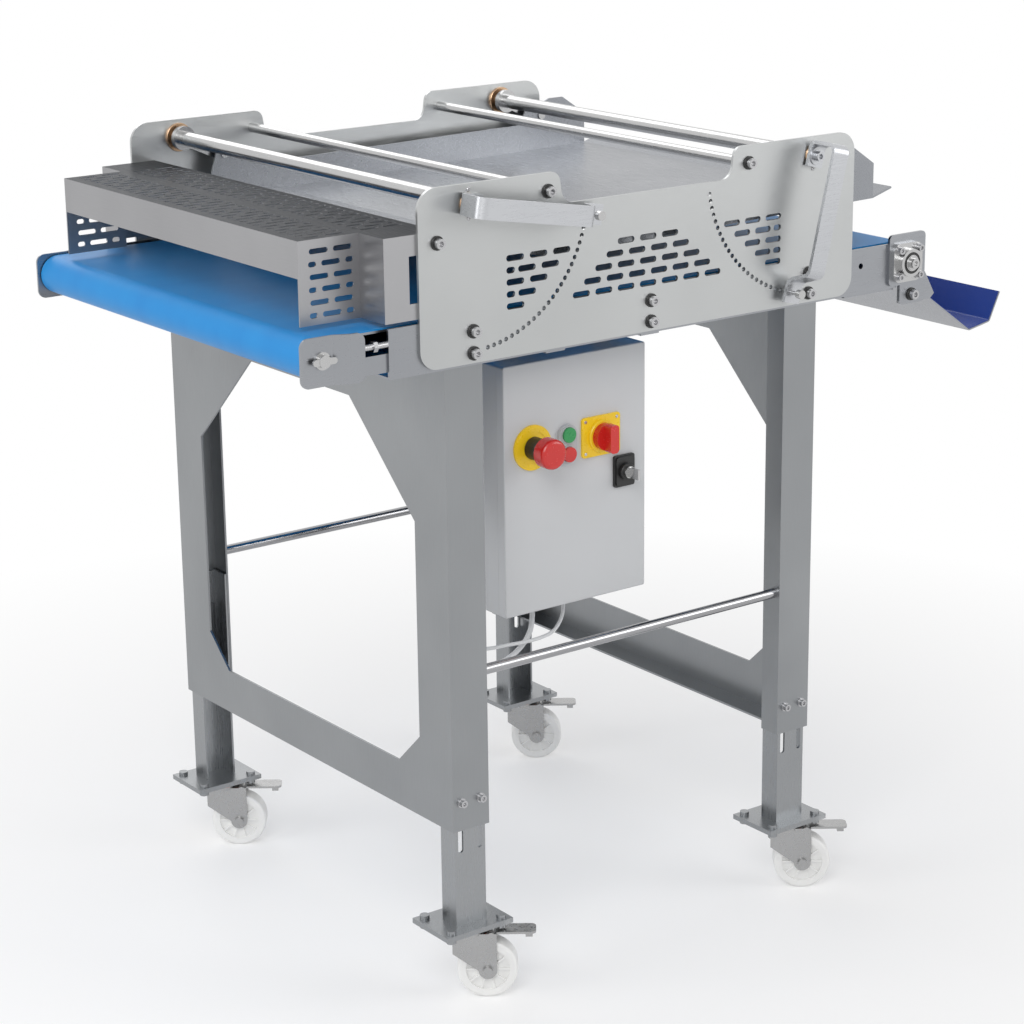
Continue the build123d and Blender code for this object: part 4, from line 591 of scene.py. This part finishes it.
def wheel_detail(x, y):
    dx, dy = across(TRAIL, 0)
    centre = Vector((x + dx, y + dy, WHEEL_R))
    axis = Vector((*across(0, 1), 0))

    def ribs(form):
        for s in (-1, 1):
            for k in range(10):
                a = 2 * math.pi * k / 10
                spoke = axis.cross(Vector((0, 0, 1))) * math.cos(a) + Vector((0, 0, 1)) * math.sin(a)
                wide = axis.cross(spoke) * 0.0013
                low, high = axis * s * 0.0118, axis * s * 0.0142
                corners = []
                for depth in (low, high):
                    for r, side in ((0.0138, 1), (0.0290, 1), (0.0290, -1), (0.0138, -1)):
                        corners.append(form.verts.new(centre + spoke * r + wide * side + depth))
                form.faces.new(corners[4:])
                for i in range(4):
                    j = (i + 1) % 4
                    form.faces.new((corners[i], corners[j], corners[4 + j], corners[4 + i]))
        bmesh.ops.recalc_face_normals(form, faces=form.faces)

    def hubs(form):
        for s in (-1, 1):
            ring(form, centre, axis * s, 0.0042, 0.0085, 0.0149, 0.0155, 0.0002, 32)

    return ribs, hubs


def race_seal(x, y):
    def seal(form):
        ring(form, (x, y, 0), (0, 0, 1), 0.0290, 0.0312, 0.0962, 0.0990, 0.0008)
    return seal


for side, y in (("near", -CASTER_Y), ("far", CASTER_Y)):
    for end, x in LEG_XS.items():
        place = side + "_" + end
        ribs, hubs = wheel_detail(x, y)
        new_piece("wheel_ribs_" + place, ribs, "nylon", "wheel_" + place)
        new_piece("wheel_hubs_" + place, hubs, "bright", "wheel_" + place)
        new_piece("race_seal_" + place, race_seal(x, y), "orange", "leg_" + place)


# cables
def cable(name, node, route, diameter):
    curve = bpy.data.curves.new(name, "CURVE")
    curve.dimensions = "3D"
    curve.bevel_depth = diameter / 2
    curve.bevel_resolution = 6
    curve.resolution_u = 12
    line = curve.splines.new("NURBS")
    line.points.add(len(route) - 1)
    for point, at in zip(line.points, route):
        point.co = (*at, 1)
    line.order_u = 3
    line.use_endpoint_u = True
    piece = bpy.data.objects.new(name, curve)
    bpy.context.scene.collection.objects.link(piece)
    curve.materials.append(paint["cable"])
    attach(piece, "frame")
    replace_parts(piece, node)


cable("flex_a", "cable_a", CABLE_A, 0.005)
cable("flex_b", "cable_b", CABLE_B, 0.007)


# floor, light and camera
def background_rays(tree):
    rays = tree.nodes.new("ShaderNodeLightPath")
    seen = rays.outputs["Is Camera Ray"]
    for kind in ("Is Glossy Ray", "Is Transmission Ray"):
        either = tree.nodes.new("ShaderNodeMath")
        either.operation = "MAXIMUM"
        tree.links.new(seen, either.inputs[0])
        tree.links.new(rays.outputs[kind], either.inputs[1])
        seen = either.outputs["Value"]
    return seen


def studio():
    mesh = bpy.data.meshes.new("floor")
    form = bmesh.new()
    bmesh.ops.create_grid(form, x_segments=1, y_segments=1, size=30)
    form.to_mesh(mesh)
    form.free()
    floor = bpy.data.objects.new("floor", mesh)
    bpy.context.scene.collection.objects.link(floor)
    material, tree, shader, coords = new_material("floor_white")
    patches = noise(tree, coords, (1, 1, 1), 0.8, 2.0)
    plain = tinted(tree, patches.outputs["Fac"], (0.92, 0.92, 0.92), (0.94, 0.94, 0.94))
    tree.links.new(plain, shader.inputs["Base Color"])
    set_input(shader, "Roughness", 0.9)
    # away from the object the floor is plain white background; near it the shadow stays
    centred = tree.nodes.new("ShaderNodeVectorMath")
    centred.operation = "LENGTH"
    tree.links.new(coords.outputs["Object"], centred.inputs[0])
    away = spread(tree, centred.outputs["Value"], 0.35, 1.0, 0.55, 1.7)
    share = tree.nodes.new("ShaderNodeMath")
    share.operation = "MULTIPLY"
    tree.links.new(away, share.inputs[0])
    tree.links.new(background_rays(tree), share.inputs[1])
    white = tree.nodes.new("ShaderNodeEmission")
    set_input(white, "Color", (1, 1, 1, 1))
    set_input(white, "Strength", 1.0)
    both = tree.nodes.new("ShaderNodeMixShader")
    tree.links.new(share.outputs["Value"], both.inputs[0])
    tree.links.new(shader.outputs["BSDF"], both.inputs[1])
    tree.links.new(white.outputs["Emission"], both.inputs[2])
    tree.links.new(both.outputs["Shader"], tree.nodes["Material Output"].inputs["Surface"])
    floor.data.materials.append(material)

    world = bpy.data.worlds.new("studio")
    bpy.context.scene.world = world
    world.use_nodes = True
    tree = world.node_tree
    seen = background_rays(tree)
    shown = tinted(tree, seen, (0.45, 0.45, 0.46), (1, 1, 1))
    tree.links.new(shown, tree.nodes["Background"].inputs["Color"])
    set_input(tree.nodes["Background"], "Strength", 1.0)

    for name, at, size, power in (
        ("key_light", (-2.6, -2.4, 3.2), 2.2, 75),
        ("side_light", (2.8, -3.0, 2.2), 2.0, 40),
        ("nose_light", (-3.0, 0.6, 2.2), 1.6, 26),
        ("back_light", (0.5, 3.2, 3.2), 2.4, 30),
    ):
        light = bpy.data.lights.new(name, "AREA")
        light.size = size
        light.energy = power
        lamp = bpy.data.objects.new(name, light)
        lamp.location = at
        lamp.rotation_euler = (Vector((0, 0, 0.7)) - Vector(at)).to_track_quat("-Z", "Y").to_euler()
        bpy.context.scene.collection.objects.link(lamp)

    turn, dip, roll = (math.radians(v) for v in (CAMERA_TURN, CAMERA_DIP, CAMERA_ROLL))
    ahead = Vector((-math.sin(turn) * math.cos(dip), math.cos(turn) * math.cos(dip), -math.sin(dip)))
    right = Vector((math.cos(turn), math.sin(turn), 0))
    down = -right.cross(ahead)
    seen_right = right * math.cos(roll) - down * math.sin(roll)
    seen_down = right * math.sin(roll) + down * math.cos(roll)
    camera = bpy.data.objects.new("camera", bpy.data.cameras.new("camera"))
    camera.data.sensor_width = SENSOR
    camera.data.lens = FOCAL_PX / PICTURE_PX * SENSOR
    camera.data.clip_end = 60
    camera.matrix_world = Matrix((
        (seen_right.x, -seen_down.x, -ahead.x, CAMERA_AT[0]),
        (seen_right.y, -seen_down.y, -ahead.y, CAMERA_AT[1]),
        (seen_right.z, -seen_down.z, -ahead.z, CAMERA_AT[2]),
        (0, 0, 0, 1),
    ))
    bpy.context.scene.collection.objects.link(camera)
    scene = bpy.context.scene
    scene.camera = camera
    scene.render.resolution_x = PICTURE_PX
    scene.render.resolution_y = PICTURE_PX
    scene.view_settings.view_transform = "Standard"


studio()
